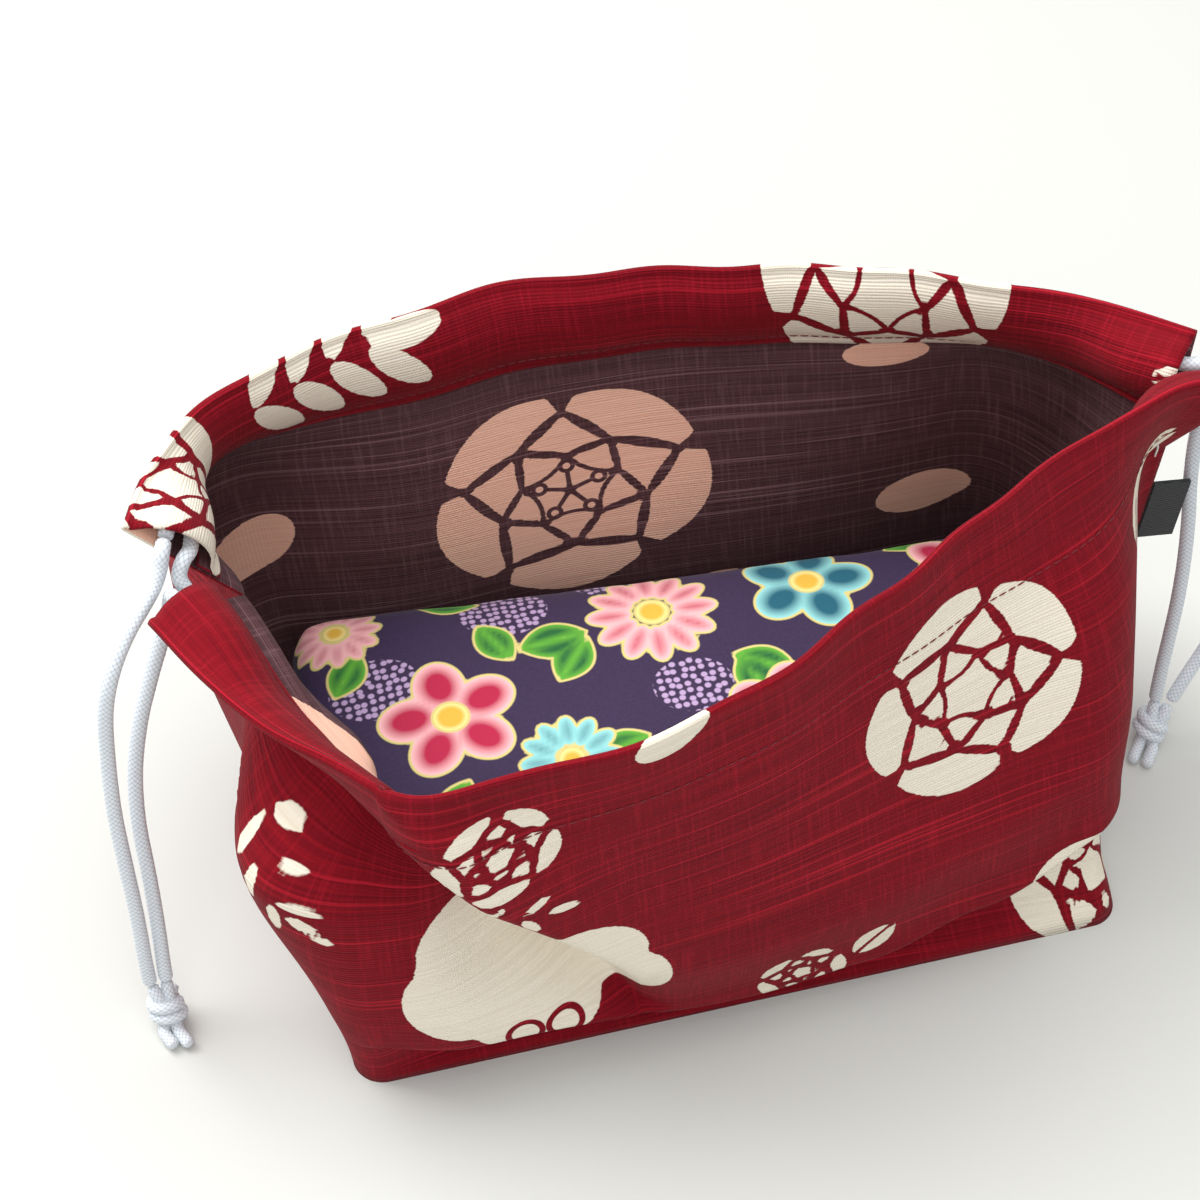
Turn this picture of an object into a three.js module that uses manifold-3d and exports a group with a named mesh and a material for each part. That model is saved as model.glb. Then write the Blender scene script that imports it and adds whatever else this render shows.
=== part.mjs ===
// An open drawstring pouch sewn from one printed cotton cloth, standing on its flat base.
// Two cords run through the folded casings at its mouth, each knotted at its own side.
// A folded cloth bundle lies in the bottom, and a small tab is sewn into the right seam.
// Units are millimetres, +Z is up, -Y is the front, and the origin is the centre of the base.
import * as THREE from "three";
import { mergeVertices } from "three/addons/utils/BufferGeometryUtils.js";
import Module from "manifold-3d";

// Bag cloth
const CLOTH = 1;
const BASE_LENGTH = 204;
const BASE_DEPTH = 114;
const BASE_CORNER = 8;
const MOUTH_LENGTH = 260;
const FRONT_REACH = 63;
const BACK_REACH = 76;
const RIM_HEIGHT = 137;
const CASING_HEIGHT = 23;
const CASING_HOLLOW = 7.4;
const SIDE_SWELL = 8;

// How far the front corners bulge, and how high up: a rise over 1 lifts the widest place
const LEFT_CORNER_SWELL = 16;
const RIGHT_CORNER_SWELL = 8.5;
const LEFT_SWELL_RISE = 1.6;
const RIGHT_SWELL_RISE = 1.9;
const CASING_HOLD = 0.6;

// Side slits: how far the cloth is open below a casing, and where the foot of each slit lies,
// measured in from the end of the mouth, back from the middle, and down from the casing
const SLIT_BELOW_CASING = 9;
const LEFT_SLIT_IN = 22;
const LEFT_SLIT_BACK = 12;
const LEFT_SLIT_DROP = 2;
const RIGHT_SLIT_IN = 9;
const RIGHT_SLIT_BACK = 5;
const RIGHT_SLIT_DROP = 3;

// Folds of the front wall
const STRIP_RECESS = 5;
const CREASE_LIP = 3.5;
const VALLEY_DEPTH = 13;
const BELLY = 4;
const GATHER_DEPTH = 0.8;
const GATHERS = 8;

// Slack ripples of the back wall
const BROAD_RIPPLE = 1.8;
const NARROW_RIPPLE = 1.2;

// Cords: their levels are shares of the casing's height, and a loop is how far a cord
// stands out of the mouth where it crosses the far slit
const CORD_DIAMETER = 3.8;
const KNOT_DIAMETER = 10.5;
const KNOT_LENGTH = 13;
const KNOT_WAIST = 0.1;
const UPPER_LEVEL = 0.66;
const LOWER_LEVEL = 0.38;
const LOOP_START = 2.5;
const LEFT_LOOP = 2;
const RIGHT_LOOP = 8;
const TOUCH_GAP = 0.3;

// Folded bundle inside
const BUNDLE_END_ROOM = 2;
const BUNDLE_FRONT_ROOM = 23;
const BUNDLE_BACK_ROOM = 11;
const BUNDLE_HEIGHT = 60;
const BUNDLE_CORNER = 18;
const BUNDLE_EDGE = 9;
const BUNDLE_TURN = THREE.MathUtils.degToRad(-4.5);

// Side tab
const TAB_WIDTH = 18;
const TAB_REACH = 10;
const TAB_THICKNESS = 1.2;
const TAB_TOP = 99;

// Mesh fineness
const COLUMNS = 38;
const CORNER_CROWDING = 0.4;
const LOWER_ROWS = 11;
const CORD_SIDES = 8;
const RUN_COLUMNS = 28;
const RUN_STEPS = 70;
const STRAND_STEPS = 14;
const TAIL_STEPS = 6;
const KNOT_SIDES = 14;

const RED = 0x9c1a2c;
const CORD_GREY = 0xc9d1d4;
const PURPLE = 0x2b1a3a;
const BLACK = 0x17191b;

const wasm = await Module();
wasm.setup();

// Rim of each half from the left side to the right: [along, outward, drop].
// Along is a share of half the mouth, outward a share of that half's reach, drop in mm.
const FRONT_RIM = [
  [-1.0, 0.05, 12],
  [-0.885, 0.48, 15],
  [-0.73, 0.81, 18],
  [-0.623, 0.95, 20],
  [-0.477, 0.985, 19],
  [-0.277, 0.99, 16],
  [-0.062, 0.95, 10],
  [0.115, 0.81, 6],
  [0.323, 0.595, 3],
  [0.577, 0.31, 0],
  [0.79, 0.15, -3],
  [0.92, 0.1, -5],
  [1.008, 0.19, -6],
];
const BACK_RIM = [
  [-1.015, 0.21, 0],
  [-0.954, 0.45, 0],
  [-0.838, 0.69, 0],
  [-0.638, 0.86, 0],
  [-0.438, 0.94, 0],
  [-0.238, 1.0, 0],
  [-0.008, 0.97, 0],
  [0.262, 0.88, 0],
  [0.462, 0.78, 0],
  [0.708, 0.58, 0],
  [0.86, 0.425, 0],
  [0.995, 0.215, 0],
];

function rimCurve(points, side, reach) {
  const place = ([along, outward, drop]) =>
    new THREE.Vector3((along * MOUTH_LENGTH) / 2, side * outward * reach, RIM_HEIGHT - drop);
  const curve = new THREE.CatmullRomCurve3(points.map(place));
  curve.arcLengthDivisions = 400;
  return curve;
}

const FRONT = { side: -1, rim: rimCurve(FRONT_RIM, -1, FRONT_REACH) };
const BACK = { side: 1, rim: rimCurve(BACK_RIM, 1, BACK_REACH) };

// The foot of each slit, where the side seam ends: left and right.
const STITCH_HEIGHT = RIM_HEIGHT - CASING_HEIGHT;
const SLIT_LEFT = new THREE.Vector3(
  LEFT_SLIT_IN - MOUTH_LENGTH / 2,
  LEFT_SLIT_BACK,
  STITCH_HEIGHT - LEFT_SLIT_DROP,
);
const SLIT_RIGHT = new THREE.Vector3(
  MOUTH_LENGTH / 2 - RIGHT_SLIT_IN,
  RIGHT_SLIT_BACK,
  STITCH_HEIGHT - RIGHT_SLIT_DROP,
);

// Height shares of the casing's stitch line and of the foot of a slit.
const STITCH = STITCH_HEIGHT / RIM_HEIGHT;
const SLIT = (STITCH_HEIGHT - SLIT_BELOW_CASING) / RIM_HEIGHT;
const TUNNEL_LEVELS = [0.06, 0.2, 0.36, 0.54, 0.7, 0.84, 0.94];

const ease = (x) => {
  const t = Math.min(Math.max(x, 0), 1);
  return t * t * (3 - 2 * t);
};
const mix = (a, b, t) => a + (b - a) * t;
const hump = (x, centre, width) => Math.exp(-(((x - centre) / width) ** 2));

// 1 along a stretch, easing in from a to b and out from c to d.
const within = ([a, b, c, d], x) => ease((x - a) / (b - a)) * (1 - ease((x - c) / (d - c)));

// Value at x of a smooth line through [x, value] knots.
function along(knots, x) {
  if (x <= knots[0][0]) return knots[0][1];
  for (let i = 1; i < knots.length; i++) {
    const [x1, y1] = knots[i];
    const [x0, y0] = knots[i - 1];
    if (x <= x1) return mix(y0, y1, ease((x - x0) / (x1 - x0)));
  }
  return knots[knots.length - 1][1];
}

// Point on the base outline, s from 0 at the left seam to 1 at the right seam.
function baseAt(side, s) {
  const halfLength = BASE_LENGTH / 2;
  const sideRun = BASE_DEPTH / 2 - BASE_CORNER;
  const arc = (Math.PI / 2) * BASE_CORNER;
  const front = BASE_LENGTH - 2 * BASE_CORNER;
  const total = 2 * (sideRun + arc) + front;
  const mirrored = s > 0.5;
  const d = total * (mirrored ? 1 - s : s);
  let x = -halfLength;
  let y = d;
  if (d > sideRun + arc) {
    x = -halfLength + BASE_CORNER + (d - sideRun - arc);
    y = BASE_DEPTH / 2;
  } else if (d > sideRun) {
    const turn = (d - sideRun) / BASE_CORNER;
    x = -halfLength + BASE_CORNER * (1 - Math.cos(turn));
    y = sideRun + BASE_CORNER * Math.sin(turn);
  }
  return new THREE.Vector2(mirrored ? -x : x, side * y);
}

// Height shares of the crease, and the slope of the valley that falls towards it.
const CREASE_HEIGHT = [
  [0.1, 0.15],
  [0.3, 0.095],
  [0.5, 0.065],
  [0.6, 0.09],
  [0.7, 0.15],
  [0.85, 0.27],
];
const VALLEY_END = 0.48;
const VALLEY_SLOPE = 2.2;
const VALLEY_ABOVE_CREASE = 0.04;
const creaseAt = (s) => along(CREASE_HEIGHT, s);
const valleyAt = (s) => {
  const falling = creaseAt(VALLEY_END) + VALLEY_SLOPE * (VALLEY_END - s);
  return Math.max(creaseAt(s) + VALLEY_ABOVE_CREASE, falling);
};

// Stretches of the front wall, from the left seam to the right one, that hold each fold.
const FOLDED_STRETCH = [0.1, 0.18, 0.79, 0.89];
const VALLEY_STRETCH = [0.1, 0.2, 0.36, 0.48];
const BELLY_STRETCH = [0.2, 0.3, 0.7, 0.95];
const LIP_START = 0.012;
const LIP_END = 0.03;
const VALLEY_RISE = 0.16;

// Outward offset of the front wall: a recessed strip at the foot, an overhanging crease,
// a diagonal valley that dies out at the middle, and a soft belly above it.
function frontFold(s, v) {
  const crease = creaseAt(s);
  const valley = valleyAt(s);
  const folded = within(FOLDED_STRETCH, s);
  const knots = [
    [0, 0],
    [0.5 * crease, -0.8 * STRIP_RECESS],
    [0.9 * crease, -STRIP_RECESS],
    [crease + LIP_START, CREASE_LIP],
    [crease + LIP_END, CREASE_LIP],
  ];
  const lower = folded * along(knots, v);
  const slope = ease((v - crease) / (valley - crease));
  const above = ease((v - valley) / VALLEY_RISE);
  const belowCasing = 1 - ease((v - STITCH + 0.1) / 0.14);
  const dip = -(VALLEY_DEPTH + CREASE_LIP) * within(VALLEY_STRETCH, s) * slope * (1 - above);
  const settle = -CREASE_LIP * folded * ease((v - valley) / 0.5);
  const fading = 1 - ease((v - valley - 0.25) / (0.75 - valley));
  const belly = BELLY * within(BELLY_STRETCH, s) * above * fading;
  return lower + dip * belowCasing + settle + belly;
}

// Outward offset of the back wall: slack ripples that fade at the foot and the rim.
function backFold(s, v) {
  const broad = BROAD_RIPPLE * Math.sin(9 * s + 2 * v);
  const narrow = NARROW_RIPPLE * Math.sin(17 * s - 3 * v + 1);
  return Math.sin(Math.PI * v) * (broad + narrow);
}

// Small gathers that the cord pulls into the casing.
function gather(s, v) {
  const share = Math.sin(Math.PI * s) * ease((v - 0.7) / 0.3);
  return GATHER_DEPTH * share * Math.sin(2 * Math.PI * GATHERS * s + Math.sin(9 * s));
}

// Bulge of the corners above the base, widest above half the height and held in by the casing.
function cornerSwell(s, v) {
  const left = LEFT_CORNER_SWELL * hump(s, 0.13, 0.12) * Math.sin(Math.PI * v ** LEFT_SWELL_RISE);
  const right = RIGHT_CORNER_SWELL * hump(s, 0.86, 0.1) * Math.sin(Math.PI * v ** RIGHT_SWELL_RISE);
  return (left + right) * (1 - CASING_HOLD * ease((v - 0.7) / 0.2));
}

function looseWall(half, s, v) {
  const foot = baseAt(half.side, s);
  const rim = half.rim.getPointAt(Math.min(Math.max(s, 0), 1));
  return new THREE.Vector3(mix(foot.x, rim.x, v), mix(foot.y, rim.y, v), rim.z * v);
}

function flatOutward(half, s, v) {
  const step = 0.01;
  const a = looseWall(half, Math.max(s - step, 0), v);
  const b = looseWall(half, Math.min(s + step, 1), v);
  const across = new THREE.Vector3(b.y - a.y, a.x - b.x, 0).multiplyScalar(-half.side);
  return across.normalize();
}

// The cut edge at a side: the seam up to the slit, then the end of that half's casing.
const RIGHT_SIDE_SWELL = 0.2 * SIDE_SWELL;
function edgeAt(half, left, v) {
  const foot = baseAt(half.side, left ? 0 : 1);
  const start = new THREE.Vector3(foot.x, foot.y, 0);
  const slit = left ? SLIT_LEFT : SLIT_RIGHT;
  const tip = half.rim.getPointAt(left ? 0 : 1);
  if (v > SLIT) return slit.clone().lerp(tip, (v - SLIT) / (1 - SLIT));
  const point = start.lerp(slit, v / SLIT);
  point.x += (left ? -SIDE_SWELL : RIGHT_SIDE_SWELL) * Math.sin((Math.PI * v) / SLIT);
  return point;
}

// Outer face of the cloth. Near a side it is pulled to the cut edge.
const SEAM_PULL = 0.16;
function wallAt(half, s, v) {
  const folds = (t) => {
    const fold = half === FRONT ? frontFold(t, v) : backFold(t, v);
    const offset = fold + gather(t, v) + cornerSwell(t, v);
    return looseWall(half, t, v).addScaledVector(flatOutward(half, t, v), offset);
  };
  const point = folds(s);
  const pull = (end, t) => {
    const share = 1 - ease(t / SEAM_PULL);
    if (share > 0) point.addScaledVector(edgeAt(half, end === 0, v).sub(folds(end)), share);
  };
  pull(0, s);
  pull(1, 1 - s);
  return point;
}

function ownNormal(half, s, v) {
  const step = 0.004;
  const ds = wallAt(half, Math.min(s + step, 1), v).sub(wallAt(half, Math.max(s - step, 0), v));
  const dv = wallAt(half, s, Math.min(v + step, 1)).sub(wallAt(half, s, Math.max(v - step, 0)));
  return ds.cross(dv).multiplyScalar(-half.side).normalize();
}

// Outward normal, shared by both halves along the side seams below the slits.
function normalAt(half, s, v) {
  const other = half === FRONT ? BACK : FRONT;
  const atSeam = Math.min(s, 1 - s) < 1e-9;
  const own = ownNormal(half, s, v);
  if (!atSeam) return own;
  const shared = 1 - ease((v - SLIT) / (STITCH - SLIT));
  return own.addScaledVector(ownNormal(other, s, v), shared).normalize();
}

// Point on the cloth, depth mm inward of its outer face.
function inside(half, s, v, depth) {
  return wallAt(half, s, v).addScaledVector(normalAt(half, s, v), -depth);
}

// Height shares of the rows of one column. Rows of the front wall gather at its folds.
function rowsAt(half, s) {
  const even = [];
  for (let j = 0; j <= LOWER_ROWS; j++) even.push((SLIT * j) / LOWER_ROWS);
  if (half === BACK) return even;
  const crease = creaseAt(s);
  const lip = crease + LIP_END;
  const valley = Math.min(valleyAt(s), SLIT - 0.14);
  const top = valley + 0.12;
  const marks = [
    0,
    0.5 * crease,
    0.9 * crease,
    crease + LIP_START,
    lip,
    mix(lip, valley, 0.5),
    valley - 0.005,
    valley + 0.05,
    top,
    mix(top, SLIT, 0.33),
    mix(top, SLIT, 0.66),
    SLIT,
  ];
  const share = ease(Math.min(s, 1 - s) / 0.08);
  return even.map((v, j) => mix(v, marks[j], share));
}

const casingLevel = (t) => mix(STITCH, 1, t);

// Width of the casing's hollow at a tunnel level.
function hollowAt(t) {
  const first = TUNNEL_LEVELS[0];
  const last = TUNNEL_LEVELS[TUNNEL_LEVELS.length - 1];
  return CASING_HOLLOW * Math.sqrt(Math.max(Math.sin((Math.PI * (t - first)) / (last - first)), 0));
}

// One cross-section of the cloth: lists of points for each face.
function sectionAt(half, s) {
  const low = rowsAt(half, s);
  const outer = [...low, STITCH].map((v) => inside(half, s, v, 0));
  const inner = [...low, STITCH].map((v) => inside(half, s, v, CLOTH));
  outer[0].z = 0;
  inner[0].z = CLOTH;
  const levels = TUNNEL_LEVELS.map(casingLevel);
  const outerCasing = levels.map((v) => inside(half, s, v, 0));
  const wallSide = levels.map((v) => inside(half, s, v, CLOTH));
  const flapSide = levels.map((v, k) => inside(half, s, v, CLOTH + hollowAt(TUNNEL_LEVELS[k])));
  const bagSide = levels.map((v, k) =>
    inside(half, s, v, 2 * CLOTH + hollowAt(TUNNEL_LEVELS[k])),
  );
  const up = wallAt(half, s, 1).sub(wallAt(half, s, 0.97)).normalize();
  const crest = inside(half, s, 1, CLOTH).addScaledVector(up, 0.6 * CLOTH);
  const top = [inside(half, s, 1, 0), crest, inside(half, s, 1, 2 * CLOTH)];
  const hem = inside(half, s, casingLevel(0.01), 2 * CLOTH);
  const flap = bagSide.slice().reverse();
  const lining = inner.slice().reverse();
  const face = [...outer, ...outerCasing, ...top, ...flap, hem, ...lining];
  const tunnel = [...wallSide, ...flapSide.slice(1, -1).reverse()];
  return { face, tunnel, outer, inner, outerCasing, bagSide, top, hem };
}

// Places of the columns, closer together at the corners of the base.
function columnAt(i) {
  const even = i / COLUMNS;
  return even + (CORNER_CROWDING * Math.sin(6 * Math.PI * even)) / (6 * Math.PI);
}

// Triangles between two neighbouring lists of points. A flip turns the faces round.
function bridge(out, a, b, closed, flip) {
  const count = closed ? a.length : a.length - 1;
  for (let k = 0; k < count; k++) {
    const n = (k + 1) % a.length;
    quad(out, a[k], b[k], b[n], a[n], flip);
  }
}

function quad(out, p, q, r, s, flip) {
  if (flip) out.push(p, r, q, p, s, r);
  else out.push(p, q, r, p, r, s);
}

function fan(out, centre, ring, flip) {
  for (let k = 0; k + 1 < ring.length; k++) {
    if (flip) out.push(centre, ring[k + 1], ring[k]);
    else out.push(centre, ring[k], ring[k + 1]);
  }
}

// Closes the cut end of a casing, leaving its tunnel open.
function capEnd(out, section, flip) {
  const { outer, inner, outerCasing, bagSide, top, hem, tunnel } = section;
  const count = TUNNEL_LEVELS.length;
  const wallSide = tunnel.slice(0, count);
  const flapSide = [tunnel[0], ...tunnel.slice(count).reverse(), tunnel[count - 1]];
  const slitRow = LOWER_ROWS;
  quad(out, outer[slitRow], inner[slitRow], inner[slitRow + 1], outer[slitRow + 1], flip);
  const lowRing = [outerCasing[0], outer[slitRow + 1], inner[slitRow + 1], hem, bagSide[0]];
  const topRing = [bagSide[count - 1], ...top.slice().reverse(), outerCasing[count - 1]];
  fan(out, wallSide[0], lowRing, flip);
  fan(out, wallSide[count - 1], topRing, flip);
  for (let k = 0; k + 1 < count; k++) {
    quad(out, outerCasing[k], wallSide[k], wallSide[k + 1], outerCasing[k + 1], flip);
    quad(out, flapSide[k], bagSide[k], bagSide[k + 1], flapSide[k + 1], flip);
  }
}

const WELD = 1e-3;

// One closed surface from a list of triangle corners.
function geometryOf(points) {
  const flat = new Float32Array(points.length * 3);
  points.forEach((p, i) => p.toArray(flat, i * 3));
  const soup = new THREE.BufferGeometry();
  soup.setAttribute("position", new THREE.BufferAttribute(flat, 3));
  const welded = mergeVertices(soup, WELD);
  const keep = [];
  const index = welded.index.array;
  for (let i = 0; i < index.length; i += 3) {
    const [a, b, c] = [index[i], index[i + 1], index[i + 2]];
    if (a !== b && b !== c && c !== a) keep.push(a, b, c);
  }
  welded.setIndex(keep);
  return welded;
}

// The cloth of the bag: two halves joined at the side seams, and the base.
function bagCloth() {
  const out = [];
  const sections = new Map();
  for (const half of [FRONT, BACK]) {
    const flip = half === BACK;
    const list = [];
    for (let i = 0; i <= COLUMNS; i++) list.push(sectionAt(half, columnAt(i)));
    for (let i = 0; i < COLUMNS; i++) {
      bridge(out, list[i].face, list[i + 1].face, false, flip);
      bridge(out, list[i].tunnel, list[i + 1].tunnel, true, !flip);
    }
    capEnd(out, list[0], !flip);
    capEnd(out, list[COLUMNS], flip);
    sections.set(half, list);
  }
  const front = sections.get(FRONT);
  const back = sections.get(BACK);
  for (let i = 0; i < COLUMNS; i++) {
    const [a, b, c, d] = [front[i], back[i], back[i + 1], front[i + 1]];
    quad(out, a.outer[0], b.outer[0], c.outer[0], d.outer[0], false);
    quad(out, a.inner[0], b.inner[0], c.inner[0], d.inner[0], true);
  }
  return geometryOf(out);
}

// A round tube along a curve, closed at both ends.
function cordTube(curve, steps) {
  const section = new THREE.Shape();
  const radius = CORD_DIAMETER / 2;
  for (let k = 0; k < CORD_SIDES; k++) {
    const turn = (2 * Math.PI * k) / CORD_SIDES;
    const x = radius * Math.cos(turn);
    const y = radius * Math.sin(turn);
    if (k === 0) section.moveTo(x, y);
    else section.lineTo(x, y);
  }
  return new THREE.ExtrudeGeometry(section, { steps, extrudePath: curve, bevelEnabled: false });
}

function cordPoints(points) {
  return new THREE.CatmullRomCurve3(points.map((p) => new THREE.Vector3(...p)));
}

// Centre of a cord inside a casing, at a level of that casing.
const cordInCasing = (half, s, level) =>
  inside(half, s, casingLevel(level), CLOTH + hollowAt(level) / 2);

// The stretch of a cord that the casings hold: in at one side, through the back casing,
// across the far slit and back through the front casing.
function runCurve(level, startsLeft) {
  const share = (i) => (startsLeft ? i / RUN_COLUMNS : 1 - i / RUN_COLUMNS);
  const inHalf = (half) => {
    const list = [];
    for (let i = 0; i <= RUN_COLUMNS; i++) list.push(cordInCasing(half, share(i), level));
    return list;
  };
  const back = inHalf(BACK);
  const front = inHalf(FRONT);
  const reach = startsLeft ? RIGHT_LOOP : LEFT_LOOP;
  const outward = startsLeft ? 1 : -1;
  const leaving = (list) => {
    const point = list[RUN_COLUMNS].clone();
    point.addScaledVector(point.clone().sub(list[RUN_COLUMNS - 1]).normalize(), LOOP_START);
    point.x += (outward * reach) / 2;
    return point;
  };
  const middle = back[RUN_COLUMNS].clone().lerp(front[RUN_COLUMNS], 0.5);
  middle.x += outward * (reach + LOOP_START / 2);
  const points = [...back, leaving(back), middle, leaving(front), ...front.reverse()];
  const turn = new THREE.CatmullRomCurve3(points);
  turn.arcLengthDivisions = 600;
  return turn;
}

// Free strands from the casing mouths to the knots, and the tails that lie below each knot.
const LEFT_BACK_STRAND = [
  [-123.2, 13.6, 133.9],
  [-124.2, 10.3, 133.4],
  [-125.4, 8.4, 130.2],
  [-127.4, 6, 127.4],
  [-130.6, 2.2, 125.6],
  [-134.4, -2, 123.6],
  [-138.2, -6.2, 120],
  [-141.2, -9, 114.5],
  [-143.5, -10.4, 106.5],
  [-145.3, -11.8, 93],
  [-146.7, -14.8, 76.5],
  [-147, -17.6, 60],
  [-147.1, -19.3, 46],
  [-147.4, -20.5, 34],
  [-147.8, -21.4, 24],
  [-148, -21.9, 13.4],
];
const LEFT_FRONT_STRAND = [
  [-122.9, 1.45, 125.8],
  [-123.8, 3.5, 125.8],
  [-124.7, 4.4, 122],
  [-126.2, 3.9, 117],
  [-128.6, 2.3, 111.8],
  [-132.2, -0.2, 104],
  [-136.6, -3.4, 93],
  [-140.2, -6.8, 79.5],
  [-142, -10.8, 65.5],
  [-142.3, -15, 51.5],
  [-142.6, -17.3, 40.5],
  [-143.1, -19.2, 29.5],
  [-143.6, -20.6, 21],
  [-143.9, -21.7, 13.4],
];
const LEFT_KNOT = {
  centre: [-145.2, -24.9, 7],
  lean: [0.11, -0.44, -0.89],
  tails: [
    [
      [-143.4, -30.5, 2.6],
      [-142.2, -33, 2.2],
      [-141, -35.4, 2.2],
    ],
    [
      [-147, -30, 2.6],
      [-146, -32.4, 2.2],
      [-144.8, -34.8, 2.2],
    ],
  ],
};
const RIGHT_BACK_STRAND = [
  [122.9, 8.3, 127.55],
  [124.4, 6.8, 127.75],
  [127.6, 6.5, 127.2],
  [130.6, 8.4, 123.5],
  [132.1, 10, 116],
  [132, 10.1, 106],
  [132.2, 8.6, 94],
  [133.1, 6.3, 80],
  [133.5, 4.2, 66],
  [133.4, 2.6, 52],
  [133.1, 1.8, 40],
  [132.9, 1.4, 28],
  [132.9, 1.1, 20],
  [133, 0.9, 13.9],
];
const RIGHT_FRONT_STRAND = [
  [128.2, -0.55, 130.5],
  [131.3, -1.6, 130.8],
  [134.7, -1.8, 128.4],
  [137.2, -1.2, 121.5],
  [139.4, -0.4, 111],
  [141.8, 0.4, 98],
  [144.4, 1.2, 83],
  [147, 2.2, 68],
  [149, 3.3, 54.5],
  [149.6, 4.1, 43],
  [148.4, 4.3, 34],
  [145.2, 3.4, 26.5],
  [140.8, 1.4, 19.6],
  [137.2, -0.2, 13],
];
const RIGHT_KNOT = {
  centre: [132.1, -1.7, 7],
  lean: [-0.4, -0.28, -0.87],
  tails: [
    [
      [128, -4.6, 2.8],
      [125.8, -7.2, 2.2],
      [123.6, -9.8, 2.2],
    ],
    [
      [130.8, -7, 2.8],
      [128.8, -9.6, 2.2],
      [126.8, -12.2, 2.2],
    ],
  ],
};

// A tight overhand knot: an egg-shaped body that leans from the strands towards the tails.
function knotSolid({ centre, lean, tails }) {
  const axis = new THREE.Vector3(...lean).normalize();
  const profile = [];
  for (let k = 0; k <= KNOT_SIDES / 2; k++) {
    const turn = (2 * Math.PI * k) / KNOT_SIDES - Math.PI / 2;
    const radius = (KNOT_DIAMETER / 2) * (1 - KNOT_WAIST * hump(turn, 0, 0.35));
    profile.push(new THREE.Vector2(radius * Math.cos(turn), (KNOT_LENGTH / 2) * Math.sin(turn)));
  }
  profile[0].x = 0;
  profile[profile.length - 1].x = 0;
  const body = new THREE.LatheGeometry(profile, KNOT_SIDES);
  body.applyQuaternion(new THREE.Quaternion().setFromUnitVectors(new THREE.Vector3(0, 1, 0), axis));
  body.translate(...centre);
  let solid = solidFrom(body);
  for (const tail of tails) {
    solid = solid.add(solidFrom(cordTube(cordPoints([centre, ...tail]), TAIL_STEPS)));
  }
  return meshFrom(solid);
}

function solidFrom(geometry) {
  const bare = geometry.index ? geometry.toNonIndexed() : geometry.clone();
  const positions = new THREE.BufferGeometry();
  positions.setAttribute("position", bare.getAttribute("position"));
  const welded = mergeVertices(positions, WELD);
  const mesh = { numProp: 3, vertProperties: welded.attributes.position.array };
  return new wasm.Manifold(new wasm.Mesh({ ...mesh, triVerts: new Uint32Array(welded.index.array) }));
}

function meshFrom(solid) {
  const mesh = solid.getMesh();
  const geometry = new THREE.BufferGeometry();
  geometry.setAttribute("position", new THREE.BufferAttribute(mesh.vertProperties, 3));
  geometry.setIndex(new THREE.BufferAttribute(mesh.triVerts, 1));
  return geometry;
}

// The folded bundle: a soft block with rounded corners and edges.
function bundle() {
  const depth = BASE_DEPTH - BUNDLE_FRONT_ROOM - BUNDLE_BACK_ROOM;
  const x = BASE_LENGTH / 2 - BUNDLE_END_ROOM - BUNDLE_EDGE;
  const y = depth / 2 - BUNDLE_EDGE;
  const r = BUNDLE_CORNER - BUNDLE_EDGE;
  const outline = new THREE.Shape();
  outline.moveTo(-x + r, -y);
  outline.lineTo(x - r, -y);
  outline.absarc(x - r, -y + r, r, -Math.PI / 2, 0);
  outline.lineTo(x, y - r);
  outline.absarc(x - r, y - r, r, 0, Math.PI / 2);
  outline.lineTo(-x + r, y);
  outline.absarc(-x + r, y - r, r, Math.PI / 2, Math.PI);
  outline.lineTo(-x, -y + r);
  outline.absarc(-x + r, -y + r, r, Math.PI, 1.5 * Math.PI);
  const block = new THREE.ExtrudeGeometry(outline, {
    depth: BUNDLE_HEIGHT - 2 * BUNDLE_EDGE,
    bevelThickness: BUNDLE_EDGE,
    bevelSize: BUNDLE_EDGE,
    bevelSegments: 3,
    curveSegments: 4,
  });
  block.rotateZ(BUNDLE_TURN);
  const towardsBack = (BUNDLE_FRONT_ROOM - BUNDLE_BACK_ROOM) / 2;
  block.translate(0, towardsBack, CLOTH + TOUCH_GAP + BUNDLE_EDGE);
  return block;
}

// A folded ribbon tab that stands out from the right seam and follows its slope.
function tab() {
  const level = (height) => (SLIT * height) / SLIT_RIGHT.z;
  const seamTop = edgeAt(FRONT, false, level(TAB_TOP));
  const seamBottom = edgeAt(FRONT, false, level(TAB_TOP - TAB_WIDTH));
  const slope = seamTop.clone().sub(seamBottom).normalize();
  const leaf = new THREE.BoxGeometry(TAB_REACH, TAB_THICKNESS, TAB_WIDTH);
  leaf.translate(TAB_REACH / 2 + TOUCH_GAP, 0, 0);
  leaf.applyQuaternion(new THREE.Quaternion().setFromUnitVectors(new THREE.Vector3(0, 0, 1), slope));
  const centre = seamTop.lerp(seamBottom, 0.5);
  return leaf.translate(centre.x, centre.y, centre.z);
}

function piece(name, geometry, color, roughness) {
  const finish = new THREE.MeshStandardMaterial({ color, roughness, metalness: 0 });
  const mesh = new THREE.Mesh(geometry, finish);
  mesh.name = name;
  return mesh;
}

const CLOTH_ROUGHNESS = 0.9;
const CORD_ROUGHNESS = 0.8;
const cord = (name, geometry) => piece(name, geometry, CORD_GREY, CORD_ROUGHNESS);

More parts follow.
